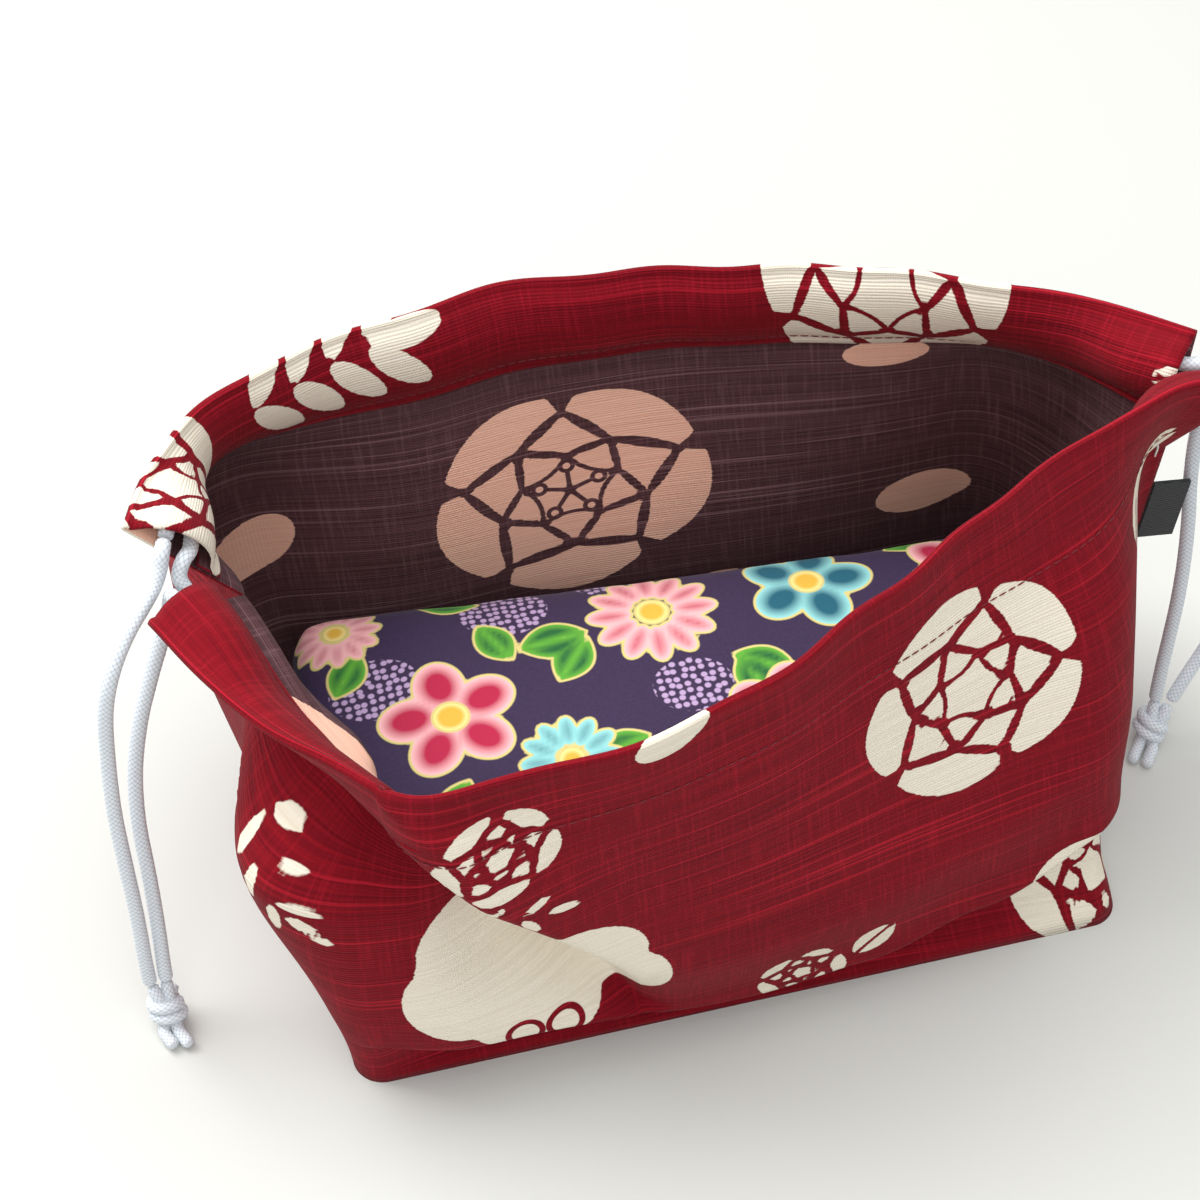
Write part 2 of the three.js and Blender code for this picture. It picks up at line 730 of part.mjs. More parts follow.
const bag = new THREE.Group();
bag.add(piece("bag_cloth", bagCloth(), RED, CLOTH_ROUGHNESS));
bag.add(piece("folded_bundle", bundle(), PURPLE, CLOTH_ROUGHNESS));
bag.add(piece("side_tab", tab(), BLACK, CLOTH_ROUGHNESS));
bag.add(cord("left_cord_run", cordTube(runCurve(UPPER_LEVEL, true), RUN_STEPS)));
bag.add(cord("right_cord_run", cordTube(runCurve(LOWER_LEVEL, false), RUN_STEPS)));

const sides = {
  left: [LEFT_BACK_STRAND, LEFT_FRONT_STRAND, LEFT_KNOT],
  right: [RIGHT_BACK_STRAND, RIGHT_FRONT_STRAND, RIGHT_KNOT],
};
for (const [side, [back, front, knot]] of Object.entries(sides)) {
  bag.add(cord(`${side}_back_strand`, cordTube(cordPoints(back), STRAND_STEPS)));
  bag.add(cord(`${side}_front_strand`, cordTube(cordPoints(front), STRAND_STEPS)));
  bag.add(cord(`${side}_knot`, knotSolid(knot)));
}

export default bag;
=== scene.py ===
# %% [markdown]
# # An open drawstring pouch
# The pouch is sewn from one cotton cloth that is red with off-white flowers on its outside and
# dark brown with pink flowers on its inside. It stands open on a flat base. Two pale braided
# cords run through the folded casings at its mouth and are knotted at the sides, and a folded
# flower-printed cloth lies in the bottom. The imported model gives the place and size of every
# piece, so this lesson only makes the fine surface around it. Lengths are written in
# millimetres, because that is how cloth is measured, and turned to metres at the end.

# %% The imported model
import math

import bpy
import numpy as np
from mathutils import Matrix, Vector


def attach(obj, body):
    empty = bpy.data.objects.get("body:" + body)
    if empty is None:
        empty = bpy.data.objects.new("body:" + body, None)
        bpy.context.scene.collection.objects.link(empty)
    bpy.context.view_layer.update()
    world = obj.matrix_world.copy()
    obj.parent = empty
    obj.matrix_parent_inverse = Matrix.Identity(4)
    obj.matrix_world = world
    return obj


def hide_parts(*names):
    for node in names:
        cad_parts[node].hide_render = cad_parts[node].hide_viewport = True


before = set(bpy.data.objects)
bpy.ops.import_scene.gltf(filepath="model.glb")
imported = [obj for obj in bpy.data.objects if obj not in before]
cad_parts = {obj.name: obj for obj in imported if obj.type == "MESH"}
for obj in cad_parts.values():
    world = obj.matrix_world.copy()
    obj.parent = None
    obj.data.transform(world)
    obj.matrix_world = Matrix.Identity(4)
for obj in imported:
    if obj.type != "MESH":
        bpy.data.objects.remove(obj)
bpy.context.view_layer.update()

MM = 0.001
scene = bpy.context.scene


def start_clean():
    """Leave edit mode and deselect everything, so that an operator acts on new work only."""
    if bpy.context.object and bpy.context.object.mode != "OBJECT":
        bpy.ops.object.mode_set(mode="OBJECT")
    bpy.ops.object.select_all(action="DESELECT")


def pick(*pieces):
    """Select these pieces, the first one active."""
    start_clean()
    for piece in pieces:
        piece.select_set(True)
    bpy.context.view_layer.objects.active = pieces[0]


# %% [markdown]
# ## Camera, floor and light
# The photograph looks down at the pouch from the front left at about 48 degrees. The camera's
# place was found from the corners of the base and the line of the rim, so it is written as a
# yaw, a pitch, a roll and a position. Soft daylight comes from the upper left and
# from behind, so the pouch throws a soft shadow to the lower right on a white table.

# %% Camera
CAMERA_YAW = math.radians(13.7)
CAMERA_PITCH = math.radians(48.4)
CAMERA_ROLL = math.radians(-0.6)
CAMERA_PLACE = (-119, -387, 549)
LENS_MM = 75

bpy.ops.object.select_all(action="DESELECT")
bpy.ops.object.camera_add(location=Vector(CAMERA_PLACE) * MM)
camera = bpy.context.object
camera.rotation_mode = "QUATERNION"
look = Vector((
    math.sin(CAMERA_YAW) * math.cos(CAMERA_PITCH),
    math.cos(CAMERA_YAW) * math.cos(CAMERA_PITCH),
    -math.sin(CAMERA_PITCH),
))
level = Vector((math.cos(CAMERA_YAW), -math.sin(CAMERA_YAW), 0))
raised = level.cross(look)
right = math.cos(CAMERA_ROLL) * level + math.sin(CAMERA_ROLL) * raised
up = math.cos(CAMERA_ROLL) * raised - math.sin(CAMERA_ROLL) * level
camera.rotation_quaternion = Matrix((right, up, -look)).transposed().to_quaternion()
camera.data.lens = LENS_MM
camera.data.sensor_width = 36
camera.data.clip_start = 0.01
scene.camera = camera
print("camera at", [round(c, 3) for c in camera.location])


# %% Colours and a helper that adds a node
def linear(code):
    """An sRGB hex colour as linear red, green, blue and a full alpha."""
    parts = [int(code[i:i + 2], 16) / 255 for i in (1, 3, 5)]
    return (*[c / 12.92 if c <= 0.04045 else ((c + 0.055) / 1.055) ** 2.4 for c in parts], 1.0)


def node(tree, kind, inputs=None, **settings):
    """Add a node, set its properties, and fill or link its inputs by name or number."""
    made = tree.nodes.new(kind)
    for name, value in settings.items():
        setattr(made, name, value)
    for key, value in (inputs or {}).items():
        if isinstance(value, bpy.types.NodeSocket):
            tree.links.new(value, made.inputs[key])
        else:
            made.inputs[key].default_value = value
    return made


def new_material(name):
    """An empty node material with its output, and the tree to fill."""
    material = bpy.data.materials.new(name)
    material.use_nodes = True
    tree = material.node_tree
    tree.nodes.clear()
    return material, tree


# %% Floor, backdrop and lamps
FLOOR_SIZE_MM = 9000
bpy.ops.mesh.primitive_plane_add(size=FLOOR_SIZE_MM * MM)
floor = bpy.context.object
floor.name = "table_top"

table_paint, tree = new_material("white_table_top")
spread = node(tree, "ShaderNodeBsdfDiffuse", {"Color": linear("#c4c4bf")})
glow = node(tree, "ShaderNodeEmission", {"Color": linear("#f3f4f2"), "Strength": 0.05})
both = node(tree, "ShaderNodeAddShader", {0: spread.outputs[0], 1: glow.outputs[0]})
path = node(tree, "ShaderNodeLightPath")
seen = node(
    tree, "ShaderNodeMixShader",
    {0: path.outputs["Is Camera Ray"], 1: spread.outputs[0], 2: both.outputs[0]},
)
node(tree, "ShaderNodeOutputMaterial", {"Surface": seen.outputs[0]})
floor.data.materials.append(table_paint)

sky = bpy.data.worlds.new("studio_sky")
scene.world = sky
sky.use_nodes = True
tree = sky.node_tree
tree.nodes.clear()
path = node(tree, "ShaderNodeLightPath")
lighting = node(tree, "ShaderNodeBackground", {"Color": linear("#f2f5f8"), "Strength": 0.68})
backdrop = node(tree, "ShaderNodeBackground", {"Color": linear("#f6f8f7"), "Strength": 1.0})
shown = node(
    tree, "ShaderNodeMixShader",
    {0: path.outputs["Is Camera Ray"], 1: lighting.outputs[0], 2: backdrop.outputs[0]},
)
node(tree, "ShaderNodeOutputWorld", {"Surface": shown.outputs[0]})

# Each lamp: place in mm, size in mm, power in watts.
LAMPS = {
    "window_upper_left": ((-700, 600, 1300), 900, 24),
    "soft_front_fill": ((-300, -1400, 1300), 1200, 10),
    "soft_overhead": ((60, 60, 1300), 800, 7),
}
for name, (place, size, power) in LAMPS.items():
    bpy.ops.object.light_add(type="AREA", location=Vector(place) * MM)
    lamp = bpy.context.object
    lamp.name = name
    lamp.data.size = size * MM
    lamp.data.energy = power
    lamp.rotation_euler = (-Vector(place)).to_track_quat("-Z", "Y").to_euler()
scene.view_settings.view_transform = "Standard"
print("lamps", list(LAMPS))

# %% [markdown]
# ## Smooth lines
# Cords, rims and folds all follow smooth lines through a few points, as a bent wire or a
# tailor's curve does. A centripetal Catmull-Rom line passes through its points without loops.

# %% Smooth lines


def smooth_line(points, step):
    """Points a step apart on the smooth line through these points."""
    knots = np.array(points, float)
    knots = np.vstack([2 * knots[0] - knots[1], knots, 2 * knots[-1] - knots[-2]])
    pieces = []
    for p0, p1, p2, p3 in zip(knots, knots[1:], knots[2:], knots[3:]):
        d0, d1, d2 = (math.sqrt(np.linalg.norm(b - a)) for a, b in ((p0, p1), (p1, p2), (p2, p3)))
        t1 = d1 * ((p1 - p0) / d0 - (p2 - p0) / (d0 + d1) + (p2 - p1) / d1)
        t2 = d1 * ((p2 - p1) / d1 - (p3 - p1) / (d1 + d2) + (p3 - p2) / d2)
        t = np.linspace(0, 1, 60, endpoint=False)[:, None]
        cubic = 2 * p1 - 2 * p2 + t1 + t2
        square = 3 * p2 - 3 * p1 - 2 * t1 - t2
        pieces.append(p1 + t1 * t + square * t ** 2 + cubic * t ** 3)
    line = np.vstack([*pieces, knots[-2:-1]])
    return evenly(line, step)


def evenly(line, step):
    """The same line with its points a step apart."""
    run = np.concatenate([[0], np.cumsum(np.linalg.norm(np.diff(line, axis=0), axis=1))])
    at = np.linspace(0, run[-1], max(2, int(round(run[-1] / step)) + 1))
    return np.stack([np.interp(at, run, line[:, k]) for k in range(3)], axis=1)


def ease(x):
    t = np.clip(x, 0, 1)
    return t * t * (3 - 2 * t)


def mix(a, b, t):
    return a + (b - a) * t


def hump(x, centre, width):
    return np.exp(-(((x - centre) / width) ** 2))


def within(stretch, x):
    """1 along a stretch, easing in from a to b and out from c to d."""
    a, b, c, d = stretch
    return ease((x - a) / (b - a)) * (1 - ease((x - c) / (d - c)))


def stepped(knots, x):
    """Value at x of a smooth line through (x, value) knots."""
    value = knots[0][1] + 0 * x
    for (x0, y0), (x1, y1) in zip(knots, knots[1:]):
        value = np.where(x > x0, mix(y0, y1, ease((x - x0) / (x1 - x0))), value)
    return value


# %% [markdown]
# ## The braided cords
# Each cord is one length of braided cotton. It goes in at its own side, runs through the back
# casing, crosses the far slit, comes back through the front casing and is knotted to itself.
# The free strands hang from the casing mouths and their knots lie on the table. A cord is made
# as a tube around a line. The strands of the braid cross as diamonds, so the tube's radius
# rises and falls with two opposed spirals, and the relief is in the mesh itself.

# %% Routes of the free strands, in millimetres
CORD = 3.8
LEFT_BACK_STRAND = [
    (-123.2, 13.6, 133.9), (-124.2, 10.3, 133.4), (-125.4, 8.4, 130.2), (-127.4, 6, 127.4),
    (-130.6, 2.2, 125.6), (-134.4, -2, 123.6), (-138.2, -6.2, 120), (-141.2, -9, 114.5),
    (-143.5, -10.4, 106.5), (-145.3, -11.8, 93), (-146.7, -14.8, 76.5), (-147, -17.6, 60),
    (-147.1, -19.3, 46), (-147.4, -20.5, 34), (-147.8, -21.4, 24), (-148, -21.9, 13.4),
]
LEFT_FRONT_STRAND = [
    (-122.9, 1.45, 125.8), (-123.8, 3.5, 125.8), (-124.7, 4.4, 122), (-126.2, 3.9, 117),
    (-128.6, 2.3, 111.8), (-132.2, -0.2, 104), (-136.6, -3.4, 93), (-140.2, -6.8, 79.5),
    (-142, -10.8, 65.5), (-142.3, -15, 51.5), (-142.6, -17.3, 40.5), (-143.1, -19.2, 29.5),
    (-143.6, -20.6, 21), (-143.9, -21.7, 13.4),
]
RIGHT_BACK_STRAND = [
    (122.9, 8.3, 127.55), (124.4, 6.8, 127.75), (127.6, 6.5, 127.2), (130.6, 8.4, 123.5),
    (132.1, 10, 116), (132, 10.1, 106), (132.2, 8.6, 94), (133.1, 6.3, 80), (133.5, 4.2, 66),
    (133.4, 2.6, 52), (133.1, 1.8, 40), (132.9, 1.4, 28), (132.9, 1.1, 20), (133, 0.9, 13.9),
]
RIGHT_FRONT_STRAND = [
    (128.2, -0.55, 130.5), (131.3, -1.6, 130.8), (134.7, -1.8, 128.4), (137.2, -1.2, 121.5),
    (139.4, -0.4, 111), (141.8, 0.4, 98), (144.4, 1.2, 83), (147, 2.2, 68), (149, 3.3, 54.5),
    (149.6, 4.1, 43), (148.4, 4.3, 34), (145.2, 3.4, 26.5), (140.8, 1.4, 19.6), (137.2, -0.2, 13),
]

# %% A grid of cloth or cord, from Blender's grid primitive
PLAIN_UV = "UVMap"


def woven_grid(name, points, uv, closed=False):
    """A grid primitive whose points are laid on the shape: rows by columns by three, in mm."""
    rows, columns = points.shape[:2]
    start_clean()
    bpy.ops.mesh.primitive_grid_add(x_subdivisions=columns - 1, y_subdivisions=rows - 1, size=1)
    piece = bpy.context.object
    piece.name = name
    mesh = piece.data
    mesh.name = name
    mesh.vertices.foreach_set("co", (points.reshape(-1, 3) * MM).ravel())
    corner = np.zeros(len(mesh.loops), np.int32)
    mesh.loops.foreach_get("vertex_index", corner)
    mesh.uv_layers[0].name = PLAIN_UV
    mesh.uv_layers[PLAIN_UV].data.foreach_set("uv", uv.reshape(-1, 2)[corner].astype(np.float32).ravel())
    mesh.update()
    if closed:
        bpy.ops.object.mode_set(mode="EDIT")
        bpy.ops.mesh.select_all(action="SELECT")
        bpy.ops.mesh.remove_doubles(threshold=1e-6)
        bpy.ops.object.mode_set(mode="OBJECT")
    bpy.ops.object.shade_smooth()
    return piece


def frames_along(line):
    """Tangent and two cross directions at each point, carried along without twist."""
    tangent = np.gradient(line, axis=0)
    tangent /= np.linalg.norm(tangent, axis=1)[:, None]
    side = np.cross(tangent[0], (0.3, 0.9, 0.1))
    sides = []
    for t in tangent:
        side = side - t * side.dot(t)
        side = side / np.linalg.norm(side)
        sides.append(side)
    sides = np.array(sides)
    return tangent, sides, np.cross(tangent, sides)


# %% Braided tube
BRAID_SIDES = 24
BRAID_STEP = 0.42
BRAID_TURN = 11.0
BRAID_STRANDS = 4


def braided_tube(name, line, diameter):
    """A closed tube with the relief of a round braid along this line."""
    line = evenly(line, BRAID_STEP)
    tangent, across, along = frames_along(line)
    run = np.concatenate([[0], np.cumsum(np.linalg.norm(np.diff(line, axis=0), axis=1))])
    turn = np.linspace(0, 2 * math.pi, BRAID_SIDES + 1)
    spiral = 2 * math.pi * run[:, None] / BRAID_TURN
    one = np.sin(BRAID_STRANDS * (turn + spiral))
    other = np.sin(BRAID_STRANDS * (turn - spiral))
    relief = 0.9 + 0.1 * np.sqrt(np.abs(one * other))
    radius = diameter / 2 * relief
    near_end = np.minimum(run, run[-1] - run)[:, None] / (diameter / 2)
    radius = radius * np.sqrt(np.clip(1 - (1 - np.clip(near_end / 0.6, 0, 1)) ** 2, 0, 1))
    shape = line[:, None] + radius[..., None] * (
        np.cos(turn)[None, :, None] * across[:, None] + np.sin(turn)[None, :, None] * along[:, None]
    )
    uv = np.stack(np.broadcast_arrays(turn[None] / (2 * math.pi), run[:, None]), axis=-1)
    piece = woven_grid(name, shape[:, ::-1], uv[:, ::-1].copy(), closed=True)
    return piece, line


cords = {}
for name, route in {
    "left_back_strand": LEFT_BACK_STRAND,
    "left_front_strand": LEFT_FRONT_STRAND,
    "right_back_strand": RIGHT_BACK_STRAND,
    "right_front_strand": RIGHT_FRONT_STRAND,
}.items():
    cords[name] = braided_tube(name + "_braid", smooth_line(route, 1), CORD)

# %% [markdown]
# ## The knots
# The two ends of a cord are laid side by side and tied as one overhand knot. The soft braid
# flattens where it is drawn tight, so inside the knot the cords are drawn a little thinner.
# Each end goes down into the knot, once around it and out at the bottom as a short tail.

# %% Knots
KNOTS = {
    "left": {
        "centre": (-145.2, -24.9, 7), "lean": (0.11, -0.44, -0.89), "front": (0.2, -0.8, 0.5),
        "tails": [
            [(-143.4, -30.5, 2.6), (-142.2, -33, 2.2), (-141, -35.4, 2.2)],
            [(-147, -30, 2.6), (-146, -32.4, 2.2), (-144.8, -34.8, 2.2)],
        ],
    },
    "right": {
        "centre": (132.1, -1.7, 7), "lean": (-0.4, -0.28, -0.87), "front": (-0.3, -0.8, 0.4),
        "tails": [
            [(128, -4.6, 2.8), (125.8, -7.2, 2.2), (123.6, -9.8, 2.2)],
            [(130.8, -7, 2.8), (128.8, -9.6, 2.2), (126.8, -12.2, 2.2)],
        ],
    },
}
TIGHT_CORD = 3.3


def knot_line(centre, lean, front, tail, side):
    """Route of one cord end through the knot, side being -1 or 1."""
    down = np.array(lean) / np.linalg.norm(lean)
    front = np.array(front) - down * np.dot(front, down)
    front = front / np.linalg.norm(front)
    across = np.cross(front, down)
    wrap = [
        (side * 2.0, 0.2, -6.8),
        (side * 1.5, 0.8, -4.0),
        (side * 1.0 + 0.4, 0.9, -1.6),
    ]
    first = math.radians(20)
    for k in range(7):
        angle = first + math.radians(52) * k
        wrap.append((3.4 * math.cos(angle), 3.2 * math.sin(angle), 1.6 + 1.5 * side - 0.45 * k))
    wrap.append((1.0, -0.4, -0.2 + side))
    wrap.append((side * 1.0, 0.3, 3.6))
    inside = [np.array(centre) + a * across + f * front + d * down for a, f, d in wrap]
    return np.array([*inside, *[np.array(p) for p in tail]])


knots = {}
for side, knot in KNOTS.items():
    halves = []
    for sign, tail in zip((1, -1) if side == "left" else (-1, 1), knot["tails"]):
        route = knot_line(knot["centre"], knot["lean"], knot["front"], tail, sign)
        halves.append(braided_tube(side + "_knot_end", smooth_line(route, 1), TIGHT_CORD)[0])
    pick(*halves)
    bpy.ops.object.join()
    knots[side] = bpy.context.object
    knots[side].name = side + "_knot_tied"
print("knots", [k.name for k in knots.values()])

# %% [markdown]
# ## The shape of the cloth
# A pouch of this kind has no frame, so its cloth is one lofted shell: a rounded rectangle at
# the base, two slack curves at the rim, and folds between. Its main sizes are those of the
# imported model. Its folds are a little deeper, and the left end of its front wall lies over
# outward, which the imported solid's doesn't. A point of the cloth is given by two shares: s
# runs from the left seam to the right one, and v from the base to the rim.

# %% Sizes of the bag
BASE_LENGTH, BASE_DEPTH, BASE_CORNER = 204, 114, 8
MOUTH_LENGTH, FRONT_REACH, BACK_REACH = 260, 63, 76
RIM_HEIGHT, CASING_HEIGHT, FLAP_HOLLOW = 137, 23, 3.6
MOUTH_HOLLOW, MOUTH_END, MOUTH_FADE = 7.4, 0.03, 0.07
SIDE_SWELL, LEFT_CORNER_SWELL, RIGHT_CORNER_SWELL = 8, 16, 8.5
LEFT_SWELL_RISE, RIGHT_SWELL_RISE, CASING_HOLD = 1.6, 1.9, 0.6
LEFT_SWELL_PLACE, RIGHT_SWELL_PLACE = (0.13, 0.12), (0.86, 0.1)
HOLD_START, HOLD_RISE = 0.7, 0.2
STITCH_HEIGHT = RIM_HEIGHT - CASING_HEIGHT
SLIT_LEFT = np.array([22 - MOUTH_LENGTH / 2, 12, STITCH_HEIGHT - 2])
SLIT_RIGHT = np.array([MOUTH_LENGTH / 2 - 9, 5, STITCH_HEIGHT - 3])
STITCH = STITCH_HEIGHT / RIM_HEIGHT
SLIT = (STITCH_HEIGHT - 9) / RIM_HEIGHT
STRIP_RECESS, CREASE_LIP, VALLEY_DEPTH, BELLY = 6.5, 4.5, 15, 5
GATHER_DEPTH, GATHERS = 0.8, 8
BROAD_RIPPLE, NARROW_RIPPLE = 1.8, 1.2

FRONT_RIM = [
    (-1.0, 0.05, 12), (-0.885, 0.48, 15), (-0.73, 0.81, 18), (-0.623, 0.95, 20),
    (-0.477, 0.985, 19), (-0.277, 0.99, 16), (-0.062, 0.95, 10), (0.115, 0.81, 6),
    (0.323, 0.595, 3), (0.577, 0.31, 0), (0.79, 0.15, -3), (0.92, 0.1, -5), (1.008, 0.19, -6),
]
BACK_RIM = [
    (-1.015, 0.21, 0), (-0.954, 0.45, 0), (-0.838, 0.69, 0), (-0.638, 0.86, 0),
    (-0.438, 0.94, 0), (-0.238, 1.0, 0), (-0.008, 0.97, 0), (0.262, 0.88, 0),
    (0.462, 0.78, 0), (0.708, 0.58, 0), (0.86, 0.425, 0), (0.995, 0.215, 0),
]


def rim_line(points, side, reach):
    """The rim as a table of points, even along its length."""
    line = smooth_line(
        [(a * MOUTH_LENGTH / 2, side * o * reach, RIM_HEIGHT - d) for a, o, d in points], 0.5
    )
    return evenly(line, 0.25)


FRONT, BACK = -1, 1
RIMS = {FRONT: rim_line(FRONT_RIM, FRONT, FRONT_REACH), BACK: rim_line(BACK_RIM, BACK, BACK_REACH)}
for side, rim in RIMS.items():
    print("rim", side, "is", round(float(np.linalg.norm(np.diff(rim, axis=0), axis=1).sum())), "mm")


def rim_at(side, s):
    rim = RIMS[side]
    at = np.clip(s, 0, 1) * (len(rim) - 1)
    return np.stack([np.interp(at, np.arange(len(rim)), rim[:, k]) for k in range(3)], axis=-1)


def base_at(side, s):
    """Point on the rounded rectangle of the base."""
    side_run = BASE_DEPTH / 2 - BASE_CORNER
    arc = math.pi / 2 * BASE_CORNER
    total = 2 * (side_run + arc) + BASE_LENGTH - 2 * BASE_CORNER
    d = total * np.minimum(s, 1 - s)
    turn = np.clip((d - side_run) / BASE_CORNER, 0, math.pi / 2)
    x = -BASE_LENGTH / 2 + BASE_CORNER * (1 - np.cos(turn)) + np.maximum(d - side_run - arc, 0)
    y = np.minimum(d, side_run) + BASE_CORNER * np.sin(turn)
    return np.stack([np.where(s > 0.5, -x, x), side * y], axis=-1)


# %% Folds of the walls
CREASE_HEIGHT = [(0.1, 0.17), (0.3, 0.125), (0.5, 0.07), (0.6, 0.09), (0.7, 0.15), (0.85, 0.27)]
FLOP_REACH, FLOP_LIFT, FLOP_FOOT, FLOP_NECK = 24, 0.11, 0.52, 0.72
FLOP_SIDE, FLOP_FADE, LIFT_PLACE = 0.12, 0.18, (0.6, 0.2)
VALLEY_END, VALLEY_SLOPE, VALLEY_ABOVE_CREASE = 0.42, 3.4, 0.04
FOLDED_STRETCH = (0.17, 0.27, 0.79, 0.89)
VALLEY_STRETCH = (0.1, 0.2, 0.34, 0.44)
BELLY_STRETCH = (0.2, 0.3, 0.7, 0.95)
LIP_START, LIP_END, VALLEY_RISE = 0.012, 0.03, 0.2


def crease_at(s):
    return stepped(CREASE_HEIGHT, s)


def valley_at(s):
    falling = crease_at(np.array(VALLEY_END)) + VALLEY_SLOPE * (VALLEY_END - s)
    return np.maximum(crease_at(s) + VALLEY_ABOVE_CREASE, falling)


def front_fold(s, v):
    """The strip at the foot, the crease over it, the diagonal valley and the belly above."""
    crease, valley = crease_at(s), valley_at(s)
    folded = within(FOLDED_STRETCH, s)
    knots = [
        (0 * crease, 0), (0.5 * crease, -0.8 * STRIP_RECESS), (0.9 * crease, -STRIP_RECESS),
        (crease + LIP_START, CREASE_LIP), (crease + LIP_END, CREASE_LIP),
    ]
    lower = folded * stepped(knots, v)
    slope = ease((v - crease) / (valley - crease))
    above = ease((v - valley) / VALLEY_RISE)
    below_casing = 1 - ease((v - STITCH + 0.1) / 0.14)
    dip = -(VALLEY_DEPTH + CREASE_LIP) * within(VALLEY_STRETCH, s) * slope * (1 - above)
    settle = -CREASE_LIP * folded * ease((v - valley) / 0.5)
    fading = 1 - ease((v - valley - 0.25) / (0.75 - valley))
    belly = BELLY * within(BELLY_STRETCH, s) * above * fading
    return lower + dip * below_casing + settle + belly


def back_fold(s, v):
    broad = BROAD_RIPPLE * np.sin(9 * s + 2 * v)
    narrow = NARROW_RIPPLE * np.sin(17 * s - 3 * v + 1)
    return np.sin(math.pi * v) * (broad + narrow)


def gather(s, v):
    share = np.sin(math.pi * s) * ease((v - 0.7) / 0.3)
    return GATHER_DEPTH * share * np.sin(2 * math.pi * GATHERS * s + np.sin(9 * s))


def corner_swell(s, v):
    """Bulge of the corners above the base, held in by the casing."""
    left = LEFT_CORNER_SWELL * hump(s, *LEFT_SWELL_PLACE) * np.sin(math.pi * v ** LEFT_SWELL_RISE)
    right = RIGHT_CORNER_SWELL * hump(s, *RIGHT_SWELL_PLACE) * np.sin(math.pi * v ** RIGHT_SWELL_RISE)
    return (left + right) * (1 - CASING_HOLD * ease((v - HOLD_START) / HOLD_RISE))


def near_left(s):
    """1 at the left end of the front wall, easing out to 0."""
    return 1 - ease((s - FLOP_SIDE) / FLOP_FADE)


def flop(s, v):
    """How far the left end of the front wall lies over: 1 at the neck below its casing."""
    rising = ease((v - FLOP_FOOT) / (FLOP_NECK - FLOP_FOOT))
    return near_left(s) * np.where(v > FLOP_NECK, (1 - v) / (1 - FLOP_NECK), rising)


def lifted(s, v):
    """Height share of a point of the front wall, whose left end is pushed up by its flop."""
    return np.minimum(v + FLOP_LIFT * near_left(s) * hump(v, *LIFT_PLACE), 1)


# %% Points of the cloth
SEAM_PULL = 0.16


def loose_wall(side, s, v):
    foot, rim = base_at(side, s), rim_at(side, s)
    v = v[..., None]
    return np.concatenate([mix(foot, rim[..., :2], v), rim[..., 2:] * v], axis=-1)


def flat_outward(side, s, v):
    step = 0.01
    d = loose_wall(side, np.minimum(s + step, 1), v) - loose_wall(side, np.maximum(s - step, 0), v)
    out = -side * np.stack([d[..., 1], -d[..., 0], 0 * s], axis=-1)
    return out / np.linalg.norm(out, axis=-1)[..., None]


def edge_at(side, left, v):
    """The side edge: the seam up to the slit's foot, then the end of the casing."""
    start = np.append(base_at(side, np.array(0.0 if left else 1.0)), 0)
    slit = SLIT_LEFT if left else SLIT_RIGHT
    tip = rim_at(side, np.array(0.0 if left else 1.0))
    low = mix(start, slit, np.clip(v / SLIT, 0, 1)[..., None])
    swell = -SIDE_SWELL if left else 0.2 * SIDE_SWELL
    low[..., 0] += swell * np.sin(math.pi * np.clip(v / SLIT, 0, 1))
    high = mix(slit, tip, np.clip((v - SLIT) / (1 - SLIT), 0, 1)[..., None])
    return np.where((v > SLIT)[..., None], high, low)


def folded_wall(side, s, v):
    if side == BACK:
        offset = back_fold(s, v) + gather(s, v) + corner_swell(s, v)
        return loose_wall(side, s, v) + flat_outward(side, s, v) * offset[..., None]
    over, height = flop(s, v), lifted(s, v)
    upright = front_fold(s, v) + gather(s, v) + corner_swell(s, height)
    offset = mix(upright, -FLOP_REACH, over)
    return loose_wall(side, s, height) + flat_outward(side, s, height) * offset[..., None]


def wall_at(side, s, v):
    """The outer face of the cloth, pulled to the cut edges near the sides."""
    s, v = np.broadcast_arrays(np.asarray(s, float), np.asarray(v, float))
    point = folded_wall(side, s, v)
    for end, near in ((0.0, s), (1.0, 1 - s)):
        share = 1 - ease(near / SEAM_PULL)
        pull = edge_at(side, end == 0, v) - folded_wall(side, end + 0 * s, v)
        point = point + share[..., None] * pull
    return point


def own_normal(side, s, v):
    step = 0.004
    ds = wall_at(side, np.minimum(s + step, 1), v) - wall_at(side, np.maximum(s - step, 0), v)
    dv = wall_at(side, s, np.minimum(v + step, 1)) - wall_at(side, s, np.maximum(v - step, 0))
    out = np.cross(ds, dv) * -side
    return out / np.linalg.norm(out, axis=-1)[..., None]


def normal_at(side, s, v):
    """Outward normal, shared by both halves along the side seams below the slits."""
    s, v = np.broadcast_arrays(np.asarray(s, float), np.asarray(v, float))
    own = own_normal(side, s, v)
    at_seam = np.minimum(s, 1 - s) < 1e-9
    shared = np.where(at_seam, 1 - ease((v - SLIT) / (STITCH - SLIT)), 0)
    out = own + own_normal(-side, s, v) * shared[..., None]
    return out / np.linalg.norm(out, axis=-1)[..., None]


def casing_level(t):
    return mix(STITCH, 1, t)


def hollow_at(t, s):
    """Width of the casing's tunnel, which opens at its two mouths."""
    width = mix(MOUTH_HOLLOW, FLAP_HOLLOW, ease((np.minimum(s, 1 - s) - MOUTH_END) / MOUTH_FADE))
    return width * np.sqrt(np.maximum(np.sin(math.pi * np.clip((t - 0.06) / 0.88, 0, 1)), 0))


